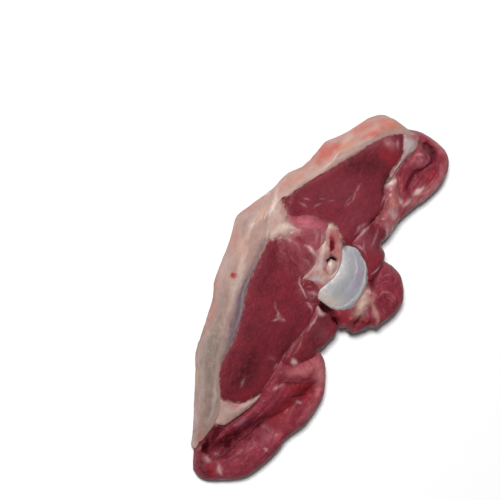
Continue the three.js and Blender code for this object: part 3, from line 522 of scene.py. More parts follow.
MARKS["side_lobe"] = [
    # Painted shade down the notch between this lobe and the one under it, which is also cut in
    ("dark", 1.3, 1.4, (-2.5, 5.5), (-2, 9), (-1.5, 13.5)),
    ("dark", 1.6, 0.9, (-0.5, 11), (0, 14), (0, 16.5)),
    ("light", 1, 0.5, (-27, 16.5), (-26.5, 19.5), (-28.5, 19)),
    ("blood", 2, 0.6, (-26, 16), (-26, 19.5)),
    ("pale", 0.5, 0.9, (-27.9, 20.5), (-24.5, 19.7), (-19.9, 19.1)),
    ("crease", 0.8, 1.4, (-28, 22), (-25, 21.5), (-21.5, 21), (-19, 22.5), (-15.5, 24)),
    ("deep", 1.4, 0.6, (-24, 21), (-20.5, 21.5), (-17, 23.5)),
    ("sallow", 2.4, 0.9, (-14.5, 22), (-12, 22.5), (-9, 22.5), (-6.5, 23)),
    ("sallow", 1.2, 0.6, (-12.5, 23), (-13.5, 25)),
    ("pale", 1.2, 0.25, (-12.5, 21.5), (-9.5, 22)),
    ("pale", 0.4, 0.3, (-13.7, 21), (-10.1, 21.2), (-6.7, 21.8)),
    ("pale", 0.7, 0.6, (-16.1, 22.1), (-15.6, 22.8)),
    ("blush", 1.2, 0.5, (-17, 21.5), (-15, 24.5)),
    ("sallow", 1.2, 0.65, (-13.5, 25.5), (-11.5, 28), (-9, 30.5), (-5.5, 33)),
    ("blush", 1, 0.5, (-12.5, 26), (-10, 30), (-7, 32.5)),
    ("crease", 0.6, 0.9, (-10.9, 24.9), (-10.2, 26.8), (-7.7, 29)),
    ("deep", 2, 0.5, (-8.5, 25.5), (-7, 27)),
    ("grey", 1.4, 0.5, (-8.5, 25.5), (-7.5, 27.5)),
    ("pale", 0.3, 0.5, *arc(-8.4, 26.4, 1.4, 2.2, -170, -20)),
    ("crease", 1, 1.3, (-0.5, 25.5), (-3, 25), (-5, 25)),
    # Painted shade in the hole and crevices near the lobe's lower end
    ("dark", 1.2, 0.8, (-1, 24.5), (-5, 24.5)),
    ("dark", 0.7, 0.6, (-3.2, 26.1), (-4.4, 27.9)),
    ("dark", 0.7, 0.7, (-4, 27.7), (-5.4, 29.4), (-5.8, 31.6)),
    ("blood", 1.2, 0.9, (-4.5, 26.5), (-6, 29), (-6.5, 31)),
    ("blush", 0.5, 0.9, (-5.1, 27.5), (-5.3, 27.9)),
    ("blush", 0.5, 0.9, (-5.4, 30.3), (-5.4, 30.8)),
    ("blood", 2.4, 0.55, (-2, 16.5), (-2.5, 20), (-1.5, 22.5)),
    ("blush", 0.6, 0.9, (-3.5, 21), (-3.4, 21.4)),
    ("blush", 0.5, 0.6, (-0.2, 19.9), (0, 20.5)),
    ("deep", 1.2, 0.5, (-7.5, 20), (-5, 19.5)),
    ("deep", 2.4, 0.45, (-14, 32), (-14, 36)),
    ("light", 2.4, 0.4, (-26, 25.5), (-25.5, 30)),
    ("light", 1.4, 0.4, (-18.5, 25), (-21.5, 26), (-23.5, 29)),
    ("deep", 1.2, 0.4, (-22.5, 23.5), (-25.5, 26)),
    ("pale", 0.4, 0.2, (-15.3, 26.8), (-17.8, 27.5), (-19.6, 29), (-20.4, 32.5)),
    ("light", 0.6, 0.65, *arc(-17.1, 31.9, 1.6, 1.3, -170, 60)),
    ("light", 0.6, 0.65, *arc(-16.9, 32, 3, 2.5, -185, 70)),
    ("light", 0.6, 0.65, *arc(-16.6, 31.9, 4.4, 3.9, -175, 80, 8)),
    ("light", 0.6, 0.65, *arc(-16.1, 31.7, 5.6, 5.4, -60, 85, 8)),
    ("deep", 0.6, 0.5, *arc(-17.1, 31.9, 2.3, 1.9, -180, 60)),
    ("pale", 0.3, 0.1, *arc(-17.1, 31.9, 1.6, 1.3, -170, -20)),
    ("pale", 0.3, 0.12, *arc(-16.9, 32, 3, 2.5, -120, 70)),
    ("pale", 0.3, 0.1, *arc(-16.6, 31.9, 4.4, 3.9, -175, -60, 8)),
    ("pale", 0.3, 0.1, (-23.9, 24.7), (-26.1, 25.3), (-26.6, 28)),
    ("pale", 0.3, 0.1, (-21, 24.5), (-23.3, 26.1), (-23.1, 29.3)),
    ("deep", 0.6, 0.5, *arc(-16.8, 31.9, 3.7, 3.2, -180, 75)),
    ("light", 0.6, 0.8, *arc(-23.6, 25.9, 2, 1.8, -200, 60)),
    ("light", 0.6, 0.8, *arc(-23.5, 26.5, 4, 3.6, -120, 60)),
    ("deep", 0.6, 0.4, *arc(-23.6, 26.2, 3, 2.7, -180, 60)),
    ("light", 0.6, 0.4, (-12.2, 30.6), (-10.8, 33), (-9.4, 34.9)),
    ("light", 1.2, 0.4, (-28, 31), (-24, 35.5), (-19, 37.5)),
]
MARKS["eye_muscle_lower"] = [
    ("pale", 0.5, 0.5, (-0.4, 7), (5.7, 6.9), (12.8, 5.7), (18, 4.5), (22, 5)),
    ("pale", 0.5, 0.5, (-1.4, -0.7), (0.6, 2.6), (2.9, 5.1)),
    ("pale", 0.5, 0.5, (8.2, -9.4), (9.4, -8.1), (10.9, -6.6)),
    ("pale", 0.55, 0.6, (10.8, -6.5), (12.2, -7.3), (13.3, -8.5)),
    ("pale", 0.5, 0.5, (10.9, -6.6), (10.8, -4.7), (10.6, -3.3)),
    ("pale", 0.8, 0.5, (10.5, -7.5), (11, -6)),
    ("pale", 0.5, 0.25, (6.3, -11.9), (8.1, -10), (9.4, -8.1)),
    ("pale", 0.6, 0.3, (37.6, -6.5), (42.7, -6)),
    # Painted highlight: a small bluish-white shiny spot
    ("pale", 1, 0.7, (28, 3.5), (28.5, 4.5)),
    ("pale", 0.8, 0.12, (26.5, -2.5), (26, 1.5)),
    ("light", 1.2, 0.25, (22, -8.5), (27, -7), (31.5, -7.5)),
    ("light", 1.2, 0.25, (1, -7.5), (-0.5, -11.5), (-2.5, -14.5)),
    ("light", 2.2, 0.25, (5, -2.5), (17, -2.5)),
    ("blood", 1.6, 0.25, (34.5, -18), (44.5, -12.5)),
    ("deep", 3.4, 0.5, (32, -17), (38.5, -14.5), (44, -11.5)),
    ("deep", 4, 0.5, (-11.5, -23.5), (3, -21.5)),
    ("deep", 1.2, 0.3, (18.5, -10.5), (25, -8.5), (31.5, -8.5)),
    ("light", 1, 0.25, (16.5, -6.5), (22.5, -4), (29.5, -3.5)),
    ("deep", 3, 0.35, (16.5, -17), (29.5, -12.5)),
    # Painted shadow: these two deep marks darken the lower end of the muscle
    ("deep", 2.4, 0.9, (48.5, -11), (45.5, -9), (36.5, -9.5)),
    ("deep", 3.8, 1.2, (43.5, -7), (37, -7), (27.5, -8.5)),
    ("deep", 2.2, 0.45, (6.5, 1.5), (19.5, 1.5)),
    ("light", 3, 0.15, (16.5, -4.5), (30.5, -3)),
    ("blood", 1.8, 0.6, (47, -4.5), (43.5, -2), (41, 1)),
    # Painted shade: a broad faint darkening of the lower part, and a darker band by the lobe below
    ("dark", 7, 0.25, (19, -6), (45.5, -8.5)),
    ("dark", 2.5, 0.4, (16, 3), (21.5, 3.5), (26, 3.5)),
]
MARKS["under_lobe"] = [
    ("pale", 1.2, 1, (-0.5, 6.5), (0.5, 8.5)),
    ("pale", 0.5, 0.6, (1, 7.9), (9.6, 7.3)),
    ("blood", 1.3, 0.8, (11, 7), (15.5, 8), (21, 9)),
    ("pale", 0.4, 0.3, (12.9, 3.8), (21.1, 4.9)),
    ("pale", 0.4, 0.3, (12.4, 6.5), (17, 7.4), (21.1, 7.5)),
    # Painted highlight: a white shiny spot
    ("pale", 0.9, 1.1, (23, 8.5), (23.5, 9.5)),
    # Painted shade down the dark notch between the lobes, which is also cut in
    ("dark", 1.3, 1.8, (-2, 5), (-1.5, 9), (-1, 12.5)),
    ("dark", 1, 1.4, (-1, 11.5), (0, 15), (1.5, 19)),
    ("crease", 0.7, 1.2, (14.9, 3.5), (20, 4.2), (23.6, 4.5)),
    ("light", 2.4, 0.3, (6, 10), (7, 15), (9.5, 18.5)),
    ("pale", 2.6, 0.05, (5.5, 9), (10, 18)),
    ("deep", 1.2, 0.6, (11, 7), (16.5, 8.5), (20.5, 9)),
    ("deep", 4.2, 0.5, (2, 10.5), (13.5, 12.5)),
    ("deep", 1.6, 0.4, (9, 9), (13.5, 9.5), (17.5, 10.5)),
    ("dark", 5, 0.15, (4, 10), (21, 9.5)),
]
MARKS["fat_wedge_upper"] = [
    ("grey", 2.4, 0.8, (-76, 3.5), (-73.5, 6.5)),
    ("grey", 1.2, 0.5, (-68.5, 6), (-64.5, 5.5)),
    ("tint", 1.4, 1.2, (-76, 1), (-78.5, 4), (-79, 7.5)),
]
MARKS["fat_wedge_lower"] = [
    ("grey", 2.4, 0.4, (53.5, -6.5), (49.5, -3), (46, 1)),
    ("pale", 1, 0.3, (52.5, -3), (48, -0.5), (44.5, 2)),
    ("blush", 1.6, 0.7, (50.5, -8.5), (50, -3.5), (46, 0)),
]
MARKS["membrane_strip"] = [
    ("sallow", 1.2, 0.45, (-52, 11), (-51, 12.5)),
    ("light", 1, 0.4, (-58, 9), (-53, 11.5), (-47.5, 13.5)),
    ("deep", 0.7, 0.5, (-56.3, 7.1), (-51, 9.4), (-45.4, 11)),
    ("grey", 1.4, 0.9, (-48.5, 13.5), (-47.5, 15)),
    ("pale", 0.6, 0.8, (-54.7, 12.9), (-53, 14.8)),
    ("pale", 1, 1.1, (-60, 7.5), (-56, 5.5)),
    ("deep", 0.8, 0.7, (-51, 7.5), (-45.5, 10.5), (-39.5, 12.5)),
    ("deep", 0.6, 0.5, (-44.9, 15.4), (-39.3, 16.9)),
    ("grey", 1.4, 0.7, (-42.5, 14.5), (-39, 16), (-35.5, 16.5)),
    ("light", 1, 0.4, (-45, 17.5), (-40.5, 17.5)),
]
MARKS["flap_upper"] = [
    ("crease", 0.7, 1.2, (-79.1, 8.4), (-78.8, 12.1), (-77.9, 15.7), (-76.4, 18.2), (-74.2, 18.4)),
    ("crease", 0.7, 1, (-72.9, 17.6), (-69.7, 15.8), (-67.7, 13.7), (-65.7, 13.3), (-62.1, 12.9),
     (-60, 13.2)),
    ("crease", 0.5, 0.5, (-75.2, 21.1), (-71.4, 21.9), (-66.8, 21.8), (-63.1, 20.1)),
    ("crease", 0.5, 0.3, (-66, 8), (-62, 9.1), (-57.6, 11.4)),
    ("light", 1.6, 0.7, (-64.5, 8), (-60.5, 9.5), (-56.5, 12.5)),
    ("crease", 0.5, 0.5, (-68.3, 17.8), (-65.1, 16.8), (-61.1, 16.3), (-57.5, 16.5)),
    ("ridge", 1.8, 0.6, (-70.5, 10), (-72.5, 12), (-73.5, 15.5)),
    # Painted shade in the crevice between the rim and the lobe
    ("deep", 1.4, 0.5, (-76.5, 11.5), (-75.5, 15)),
    ("blood", 1.3, 0.8, (-72.5, 20.5), (-69.5, 21.5), (-65.5, 20.5)),
    # Painted shade in the crevice between the rim and the lobe
    ("deep", 2, 0.8, (-79, 10), (-78.5, 14), (-76.5, 17.5)),
    ("grey", 1.6, 0.5, (-77, 9.5), (-76.5, 13), (-75, 16)),
    ("blood", 1.4, 0.5, (-79.5, 6), (-80.5, 11), (-79, 17)),
    ("grey", 2, 0.4, (-69.5, 10.5), (-71.5, 13), (-72.5, 16)),
    ("blush", 1.6, 0.3, (-71, 10), (-72.5, 14)),
    ("light", 1, 0.15, (-61.5, 15), (-64.5, 15.5), (-67.5, 17)),
    ("light", 1.8, 0.4, (-61.5, 8), (-57.5, 9.5), (-56, 13.5)),
    # Painted highlight: a glint along the top of the lobe
    ("pale", 0.6, 0.45, (-72.6, 9.5), (-73.9, 10.7), (-74.3, 12.4)),
    # White flecks on the rim, partly white tissue and partly painted glints
    ("pale", 1.1, 0.85, (-59, 18), (-61, 19), (-63.5, 20)),
    ("pale", 1, 0.5, (-57.5, 18.5), (-53, 16.5)),
    ("pale", 0.4, 0.15, (-63.3, 24), (-67.3, 24.6)),
    ("blush", 1, 0.5, (-75, 22.5), (-71.5, 24), (-68, 24)),
    ("grey", 1.6, 0.35, (-51, 16), (-54, 17.5), (-57.5, 18.5)),
    ("blood", 1.6, 0.5, (-47, 18), (-54, 20)),
    ("pale", 0.5, 0.15, (-52.2, 16.9), (-54.9, 17.7)),
    ("pale", 0.6, 0.6, (-55.5, 12.7), (-53.2, 15.2)),
    ("blush", 2.4, 1, (-78.5, 23), (-74.5, 24.5), (-70, 25), (-65, 24), (-59.5, 22.5), (-53.5, 20),
     (-47.5, 19)),
    ("blush", 1.6, 0.8, (-82, 10), (-81, 17.5), (-78.5, 23)),
    ("light", 1.6, 0.5, (-81, 15.5), (-79, 21.5), (-75, 25)),
]
MARKS["flap_lower"] = [
    ("crease", 1, 1, (32.5, 5), (45, 3), (50.5, 1.5), (57, -1), (62.5, -3), (72, -5.5)),
    ("crease", 1, 1.2, (51, 10.5), (53.5, 9.5), (57, 9), (62.5, 7), (67, 5.5), (71, 3),
     (73, -0.5)),
    # The dark marks are painted shade: in the cavity under the fold at the lower left and in the
    # crevices of the folds
    ("dark", 4.6, 0.95, (54, 6), (65, 1), (71.5, -4)),
    ("dark", 3.6, 0.7, (69.5, -6.5), (65, -6), (58, -2.5)),
    ("dark", 4, 0.6, (74.5, -7), (78, -4), (80, 0)),
    ("dark", 2.6, 0.7, (73, -3.5), (70, 1), (65.5, 5), (61.5, 7)),
    ("blush", 2.6, 0.6, (28, 9.5), (22, 18)),
    ("dark", 1.2, 0.5, (51.5, 10.5), (59, 8)),
    ("dark", 2, 1.2, (66.5, -7.5), (71, -5.5), (72.5, -2)),
    ("blood", 1.4, 0.5, (69.5, -3.5), (63, -0.5), (56, 2.5)),
    ("dark", 1, 0.9, (54, 9.5), (52.5, 10)),
    ("deep", 3.4, 0.15, (47.5, 8), (62, 2)),
    ("crease", 0.6, 0.8, (33.8, 5.3), (33.3, 9.4), (30.2, 15.3), (27.7, 20.4)),
    ("light", 2, 0.6, (29, 9.5), (24.5, 20)),
    ("crease", 0.6, 1, (36.9, 15), (34.1, 18.8), (31.8, 23)),
    ("crease", 0.6, 0.5, (48.5, 12.2), (41.9, 16.4), (38.2, 18.9)),
    ("crease", 0.5, 0.4, (52.4, 6), (46.9, 7.6), (41.8, 8.5)),
    ("blood", 3.2, 0.7, (35, 17.5), (40, 16.5), (47.5, 14)),
    ("blood", 2.6, 0.9, (31.5, 17.5), (29.5, 20.5), (31.5, 21.5)),
    ("dark", 2.2, 0.42, (31.5, 18.5), (30, 21.5)),
    ("deep", 2.4, 1.3, (35.5, 19.5), (39.5, 17), (43.5, 15)),
    ("deep", 2.2, 0.9, (31.5, 18), (29.5, 20), (31.5, 21.5)),
    ("blood", 1.2, 1.1, (76, -0.5), (78.5, 2)),
    ("blood", 2, 0.5, (32, 15.5), (35, 13)),
    ("blood", 1.4, 0.5, (38, 14), (47.5, 10)),
    ("light", 2.4, 0.5, (22, 13.5), (17, 17.5)),
    ("blush", 2.2, 0.5, (24.5, 12.5), (22.5, 15.5), (20, 18.5)),
    ("light", 1.2, 0.6, (27.5, 11.5), (24.5, 16), (24, 19.5)),
    ("light", 2.4, 0.7, (18.5, 18), (24, 22.5), (30, 25.5), (37, 24.5)),
    ("blush", 3.2, 0.95, (18, 14), (19.5, 19.5), (24, 23.5), (30, 25.5)),
    ("blush", 2, 0.4, (29, 26), (36, 26.5), (44.5, 24.5)),
    ("grey", 2, 0.35, (53.5, 12), (55, 15), (58.5, 15)),
    ("light", 3.4, 0.1, (40, 22.5), (64.5, 16)),
    ("blush", 0.8, 0.6, (73.5, -9), (70.5, -7.5)),
    ("grey", 1.2, 0.8, (56.5, 1.5), (53.5, 2.5)),
    ("pale", 0.7, 0.4, (36.3, 7.5), (33.7, 8.9)),
    # Painted glints on the wet flesh: the pale spots and the short pale streak below
    ("pale", 0.8, 0.4, (74, -3.5), (74.5, -2)),
    ("pale", 0.9, 0.5, (73.5, 2.5), (75.5, 4.5), (77, 6.5)),
    ("blood", 0.6, 0.8, (73.7, -1.3), (75.8, 1), (78.1, 2.7)),
    ("pale", 0.5, 0.35, (70.8, -0.6), (70.2, 0.5)),
    ("pale", 0.5, 0.4, (59.5, 17.1), (59.4, 18.1)),
    ("pale", 0.5, 0.4, (36.4, 19.3), (36, 20.5)),
]

# Wet tissues. ground and second are blotched together, and grain shades them, by contrast; draw
# stretches the grain, and depth is its relief. tone is how far the light and deep marks shade.
# fleck is how white the flecks are, white specks that are partly fat and partly painted wet
# glints, and web how white a fine net of connective tissue is, with cells of web_size. shine and
# coat are the gloss of the flesh and of the wet film on it, both lost in the dark marks. radius is
# how far red, green and blue light wander inside, and subsurface how much of it does. The stains
# and the painted shade lie over each other in their order: the dark color is painted shade in
# crevices and hollows, and the pale one also serves the few painted glints.
PLAIN = {"draw": (1, 1, 1), "fleck": 0, "web": 0, "shine": 0.3, "subsurface": 0.25}
FINISHES = {
    # Outer fat: waxy, firm and off-white, tinted by rind, with a dull wet shine
    "outer_fat": PLAIN | {
        "name": "Lamb fat, outer, cut and rind", "ground": "#AC8F87", "second": "#A08076",
        "blotch": 5, "grain": 1.1, "draw": (0.3, 1, 1), "contrast": 0.34, "tone": 0.35,
        "depth": 0.25, "roughness": 0.45, "coat": 0.06, "radius": (1.6, 0.9, 0.7),
        "stains_and_shades": {"grey": "#76675F", "tint": "#6A565F", "sallow": "#B78F70", "blush": "#B25648",
                   "blood": "#8C1420", "pale": "#CFC0B6", "dark": "#5A2026"},
    },
    # Inner fat: softer and pinker, between the muscles
    "inner_fat": PLAIN | {
        "name": "Lamb fat, inner, cut", "ground": "#B2928A", "second": "#A17F78",
        "blotch": 3, "grain": 0.8, "contrast": 0.35, "tone": 0.35,
        "depth": 0.2, "roughness": 0.42, "coat": 0.07, "radius": (1.6, 0.8, 0.6),
        "stains_and_shades": {"tint": "#8A434C", "grey": "#B3A8AB", "sallow": "#D2B59C", "blush": "#AE6360",
                   "blood": "#861F29", "pale": "#CDB3A8", "dark": "#2E0C10"},
    },
    # Membrane: a thin wet skin over pink flesh
    "membrane": PLAIN | {
        "name": "Fell membrane over flesh", "ground": "#9C5A5B", "second": "#87454C",
        "blotch": 3, "grain": 0.9, "draw": (0.4, 1, 1), "contrast": 0.8, "tone": 0.4,
        "depth": 0.2, "roughness": 0.36, "coat": 0.1, "subsurface": 0.2,
        "radius": (1.4, 0.5, 0.4),
        "stains_and_shades": {"grey": "#A78B8E", "sallow": "#C98A6E", "blush": "#B86062",
                   "pale": "#CDB7B0", "dark": "#4A161C"},
    },
    # Bone: dense bluish white with a glassy film of cartilage over its cut
    "bone": PLAIN | {
        "name": "Hip bone, sawn, with cartilage", "ground": "#9B9A9D", "second": "#8E9095",
        "blotch": 5, "grain": 0.7, "contrast": 0.08, "tone": 0.3,
        "depth": 0.06, "roughness": 0.38, "coat": 0.06, "radius": (1, 0.9, 0.9),
        "stains_and_shades": {"tint": "#8D7E95", "blush": "#A57C84", "sallow": "#B5A49A", "grey": "#969B95",
                   "pale": "#BEBAB9", "dark": "#40282C"},
    },
    # Ligament: a tough smooth knob, beige and shiny
    "ligament": PLAIN | {
        "name": "Round ligament", "ground": "#AE948C", "second": "#A3857F",
        "blotch": 2, "grain": 0.6, "contrast": 0.1, "tone": 0.3,
        "depth": 0.08, "roughness": 0.32, "coat": 0.07, "radius": (1.4, 0.8, 0.6),
        "stains_and_shades": {"blush": "#B0706C", "pale": "#D0BDB4", "dark": "#3A1216"},
    },
    # Dark lean: fine-grained muscle cut across its fibres, purple-red and damp
    "dark_lean": PLAIN | {
        "name": "Leg muscle, dark, cut across", "ground": "#74222D", "second": "#631A26",
        "blotch": 6, "grain": 1, "draw": (0.8, 1, 1), "contrast": 1.12, "tone": 0.45,
        "depth": 0.12, "fleck": 0.06, "roughness": 0.58, "coat": 0.03, "subsurface": 0.12,
        "radius": (1.2, 0.25, 0.2),
        "stains_and_shades": {"grey": "#7A3B47", "blood": "#7E1E27", "pale": "#BC9497", "dark": "#2E0A0E"},
    },
    # Pink lean: looser muscle with a fine net of connective tissue
    "pink_lean": PLAIN | {
        "name": "Leg muscle, pink, cut across", "ground": "#8E404B", "second": "#7B333E",
        "blotch": 3.5, "grain": 1.1, "draw": (1, 0.6, 1), "contrast": 0.78, "tone": 0.45,
        "depth": 0.16, "fleck": 0.12, "web": 0.08, "web_size": 1.8, "roughness": 0.48,
        "coat": 0.05, "subsurface": 0.15, "radius": (1.3, 0.4, 0.3),
        "stains_and_shades": {"blush": "#B2606C", "blood": "#6E1C26", "pale": "#CFA8A4", "dark": "#34090D"},
    },
    # Flap lean: ragged thin muscle, redder and wetter, with drawn fibres
    "flap_lean": PLAIN | {
        "name": "Flank muscle, torn and folded", "ground": "#822E3A", "second": "#6C222F",
        "blotch": 3.5, "grain": 1.1, "draw": (0.4, 1, 1), "contrast": 1.1, "tone": 0.5,
        "depth": 0.18, "fleck": 0.12, "roughness": 0.56, "coat": 0.03, "shine": 0.2,
        "subsurface": 0.15, "radius": (1.4, 0.35, 0.25),
        "stains_and_shades": {"sallow": "#AE9384", "grey": "#8B5360", "blush": "#B3696D", "blood": "#861A21",
                   "rim": "#A5636B", "pale": "#CDAFAB", "dark": "#3C0C12"},
    },
}
BLOTCHING = (0.35, 0.65)    # the ground turns to the second color between these noise values,
FLECKING = (0.58, 0.72)     # and a fleck comes up between these
FLECK_SIZE = 1.4
WEB_LINE = 0.3              # how wide a strand of the web is, in cells
GLOSS = (-0.06, 0.1)        # how the roughness varies with the blotches
COAT_ROUGHNESS = 0.22
FLESH_IOR = 1.4

# How far two tissues mingle at a seam, and the noise that shifts them to and fro there
FRINGE = 0.35
FRINGES = {
    frozenset(("outer_fat", "inner_fat")): 3,
    frozenset(("inner_fat", "pink_lean")): 1.8,
    frozenset(("pink_lean", "dark_lean")): 2.4,
    frozenset(("inner_fat", "dark_lean")): 1.2,
    frozenset(("inner_fat", "flap_lean")): 1.2,
    frozenset(("inner_fat", "bone")): 0.8,
    frozenset(("membrane", "dark_lean")): 1.6,
    frozenset(("membrane", "flap_lean")): 1.6,
    frozenset(("membrane", "inner_fat")): 1.2,
    frozenset(("dark_lean", "flap_lean")): 0.9,
}
INTERLOCK = ((0.4, 1.5), (0.35, 0.6))
NO_SHARE = 1e-6             # stands in where there is no neighbour near


# Curves, distances and noise

def smooth(points, count):
    """count + 1 evenly spaced points on a centripetal Catmull-Rom curve through the given ones."""
    p = np.asarray(points, float)
    p = np.vstack([2 * p[0] - p[1], p, 2 * p[-1] - p[-2]])
    a, b, c, d = p[:-3], p[1:-2], p[2:-1], p[3:]
    ab, bc, cd = (np.linalg.norm(e - s, axis=1)[:, None] ** 0.5
                  for s, e in ((a, b), (b, c), (c, d)))
    leave = ((b - a) / ab - (c - a) / (ab + bc) + (c - b) / bc) * bc
    arrive = ((c - b) / bc - (d - b) / (bc + cd) + (d - c) / cd) * bc
    t = np.linspace(0, 1, CURVE_SAMPLES, endpoint=False)[:, None]
    weights = (2 * t**3 - 3 * t**2 + 1, t**3 - 2 * t**2 + t, 3 * t**2 - 2 * t**3, t**3 - t**2)
    fine = sum(w[None] * q[:, None] for w, q in zip(weights, (b, leave, c, arrive))).reshape(-1, 2)
    fine = np.vstack([fine, p[-2]])
    travelled = np.append(0, np.cumsum(np.linalg.norm(np.diff(fine, axis=0), axis=1)))
    even = np.linspace(0, travelled[-1], count + 1)
    return np.stack([np.interp(even, travelled, fine[:, k]) for k in (0, 1)], axis=1)


def rails(piece, step):
    """The two sides of a piece, both from its first tip to its far one, with as many points."""
    near = piece["outline"][:piece["far"] + 1]
    back = [piece["outline"][0], *piece["outline"][piece["far"]:][::-1]]
    length = np.linalg.norm(np.diff(near, axis=0), axis=1).sum()
    count = max(FEWEST_STATIONS, round(length / step))
    return smooth(near, count), smooth(back, count)


def loop(piece):
    """The outline of a piece as a closed curve."""
    near, back = rails(piece, OUTER_STEP)
    return np.vstack([near, back[-2:0:-1]])


def segments(points, closed=False):
    """Each pair of neighbouring points, as an array of (start, end) pairs."""
    points = np.asarray(points, float)
    if closed:
        points = np.vstack([points, points[:1]])
    return np.stack([points[:-1], points[1:]], axis=1)


def distance(points, pairs):
    """Distance in plan from each point to the nearest of the segments."""
    start, along = pairs[:, 0], pairs[:, 1] - pairs[:, 0]
    length2 = (along**2).sum(1) + TINY
    nearest = np.empty(len(points))
    for first in range(0, len(points), CHUNK):
        offset = points[first:first + CHUNK, None] - start
        t = np.clip((offset * along).sum(2) / length2, 0, 1)
        away2 = ((offset - t[..., None] * along)**2).sum(2)
        nearest[first:first + CHUNK] = np.sqrt(away2.min(1))
    return nearest


def inside(points, polygon):
    """True where a ray from the point crosses the closed outline an odd number of times."""
    (ax, ay), (bx, by) = (segments(polygon, closed=True)[:, k].T for k in (0, 1))
    odd = np.empty(len(points), bool)
    for first in range(0, len(points), CHUNK):
        x, y = points[first:first + CHUNK].T[..., None]
        crosses = (ay > y) != (by > y)
        reach = ax + (y - ay) * (bx - ax) / np.where(by == ay, 1, by - ay)
        odd[first:first + CHUNK] = (crosses & (x < reach)).sum(1) % 2 == 1
    return odd


def color(code):
    """An sRGB hex value as linear red, green and blue, with an alpha of 1."""
    srgb = np.array([int(code[k:k + 2], 16) for k in (1, 3, 5)]) / 255
    linear = np.where(srgb <= 0.04045, srgb / 12.92, ((srgb + 0.055) / 1.055)**2.4)
    return (*linear, 1)


LATTICE = np.random.default_rng(NOISE_SEED).random((NOISE_CELLS,) * 3)


def noise(points, size):
    """Smooth noise from -1 to 1: random values on a lattice of this size, blended in between."""
    place = points / size + NOISE_OFFSET * size
    cell = np.floor(place).astype(int)
    part = place - cell
    part = part * part * (3 - 2 * part)
    total = 0
    for corner in np.ndindex(2, 2, 2):
        i, j, k = ((cell + corner) % NOISE_CELLS).T
        total = total + np.where(corner, part, 1 - part).prod(axis=1) * LATTICE[i, j, k]
    return 2 * total - 1


def noises(points, parts):
    """The sum of noises, each given as (amount, size)."""
    return sum(amount * noise(points, size) for amount, size in parts)


# The height field

for piece in PIECES:
    piece["loop"] = loop(piece)
    piece["edge"] = segments(piece["loop"], closed=True)


def uncovered(piece):
    """The parts of a piece's edge that lie in no other piece."""
    middle = piece["edge"].mean(axis=1)
    covered = [inside(middle, other["loop"]) for other in PIECES if other is not piece]
    return piece["edge"][~np.any(covered, axis=0)]


OUTER_EDGE = np.vstack([uncovered(piece) for piece in PIECES])


def seams():
    """For each two pieces that meet in sight: the upper, the lower, and the edge between them."""
    found = []
    for rank, lower in enumerate(PIECES):
        for upper in PIECES[:rank]:
            middle = upper["edge"].mean(axis=1)
            shows = inside(middle, lower["loop"])
            for other in PIECES[:rank]:
                if other is not upper:
                    shows &= ~inside(middle, other["loop"])
            if shows.any():
                found.append((upper, lower, upper["edge"][shows]))
    return found


SEAMS = seams()


def level(plan):
    """Height of the cut face: the given heights, averaged by 1 / (distance² + reach²)²."""
    away2 = ((plan[:, None] - LEVELS[:, :2])**2).sum(2)
    weight = 1 / (away2 + LEVEL_REACH**2)**2
    return (weight * LEVELS[:, 2]).sum(1) / weight.sum(1)


def rounding(away, radius):
    """Drop of a rounded edge at a distance inside it: a quarter circle of this radius."""
    t = 1 - np.clip(away / radius, 0, 1)
    return radius * (1 - np.sqrt(1 - t * t))


def near_box(piece, other):
    """Whether two outlines come near enough for one to shape the other."""
    low, high = other["loop"].min(0) - NEARBY, other["loop"].max(0) + NEARBY
    return bool(np.all(piece["loop"].max(0) > low) and np.all(piece["loop"].min(0) < high))


def fringe(piece, other):
    """How far two pieces mingle where they meet."""
    return FRINGES.get(frozenset((piece["slot"], other["slot"])), FRINGE)


def relief(piece, masters, plan):
    """Over each place: the upper face, the underside, the depth of the folds, and how far it is
    to a seam and to the outer edge.

    The upper face is the level, plus a swell that dies away at the seams, less the folds, less
    the rounding of the outer edge, and it dives where the piece runs on under a neighbour.
    """
    masters = [other for other in masters if near_box(piece, other)]
    deep = np.full(len(plan), -1.0)     # how far under a neighbour; below 0 outside
    dive = np.zeros(len(plan))
    seam = distance(plan, piece["edge"])
    for other in masters:
        away = distance(plan, other["edge"])
        seam = np.minimum(seam, away)
        under = np.where(inside(plan, other["loop"]), away, -away)
        deep = np.maximum(deep, under)
        early = TUCK_EARLY * (fringe(piece, other) < CRISP)
        dive = np.maximum(dive, under + early)
    edge = distance(plan, OUTER_EDGE)
    face = level(plan)
    hollow = np.zeros(len(plan))
    for depth, width, path in piece.get("folds", ()):
        hollow += depth * np.exp(-(distance(plan, segments(path)) / width)**2)
    swell = piece["swell"] * (1 - np.exp(-seam / SEAM_WIDTH)) * (deep <= 0)
    tuck = np.minimum(TUCK_DEPTH, TUCK_SLOPE * dive)
    shoulder = np.minimum(piece["shoulder"], face * UPPER_SHARE)
    top = face + swell - hollow - tuck - rounding(edge, shoulder)
    waist = np.exp(-((plan - WAIST)**2).sum(1) / WAIST_REACH**2)
    foot = rounding(edge, np.minimum(FOOT_RADIUS + WAIST_RADIUS * waist, face * FOOT_SHARE))
    return top, foot, hollow, seam * (deep <= 0), edge


KINDS = ("tint", "grey", "sallow", "blush", "blood", "pale", "dark",
         "light", "deep", "ridge", "crease")


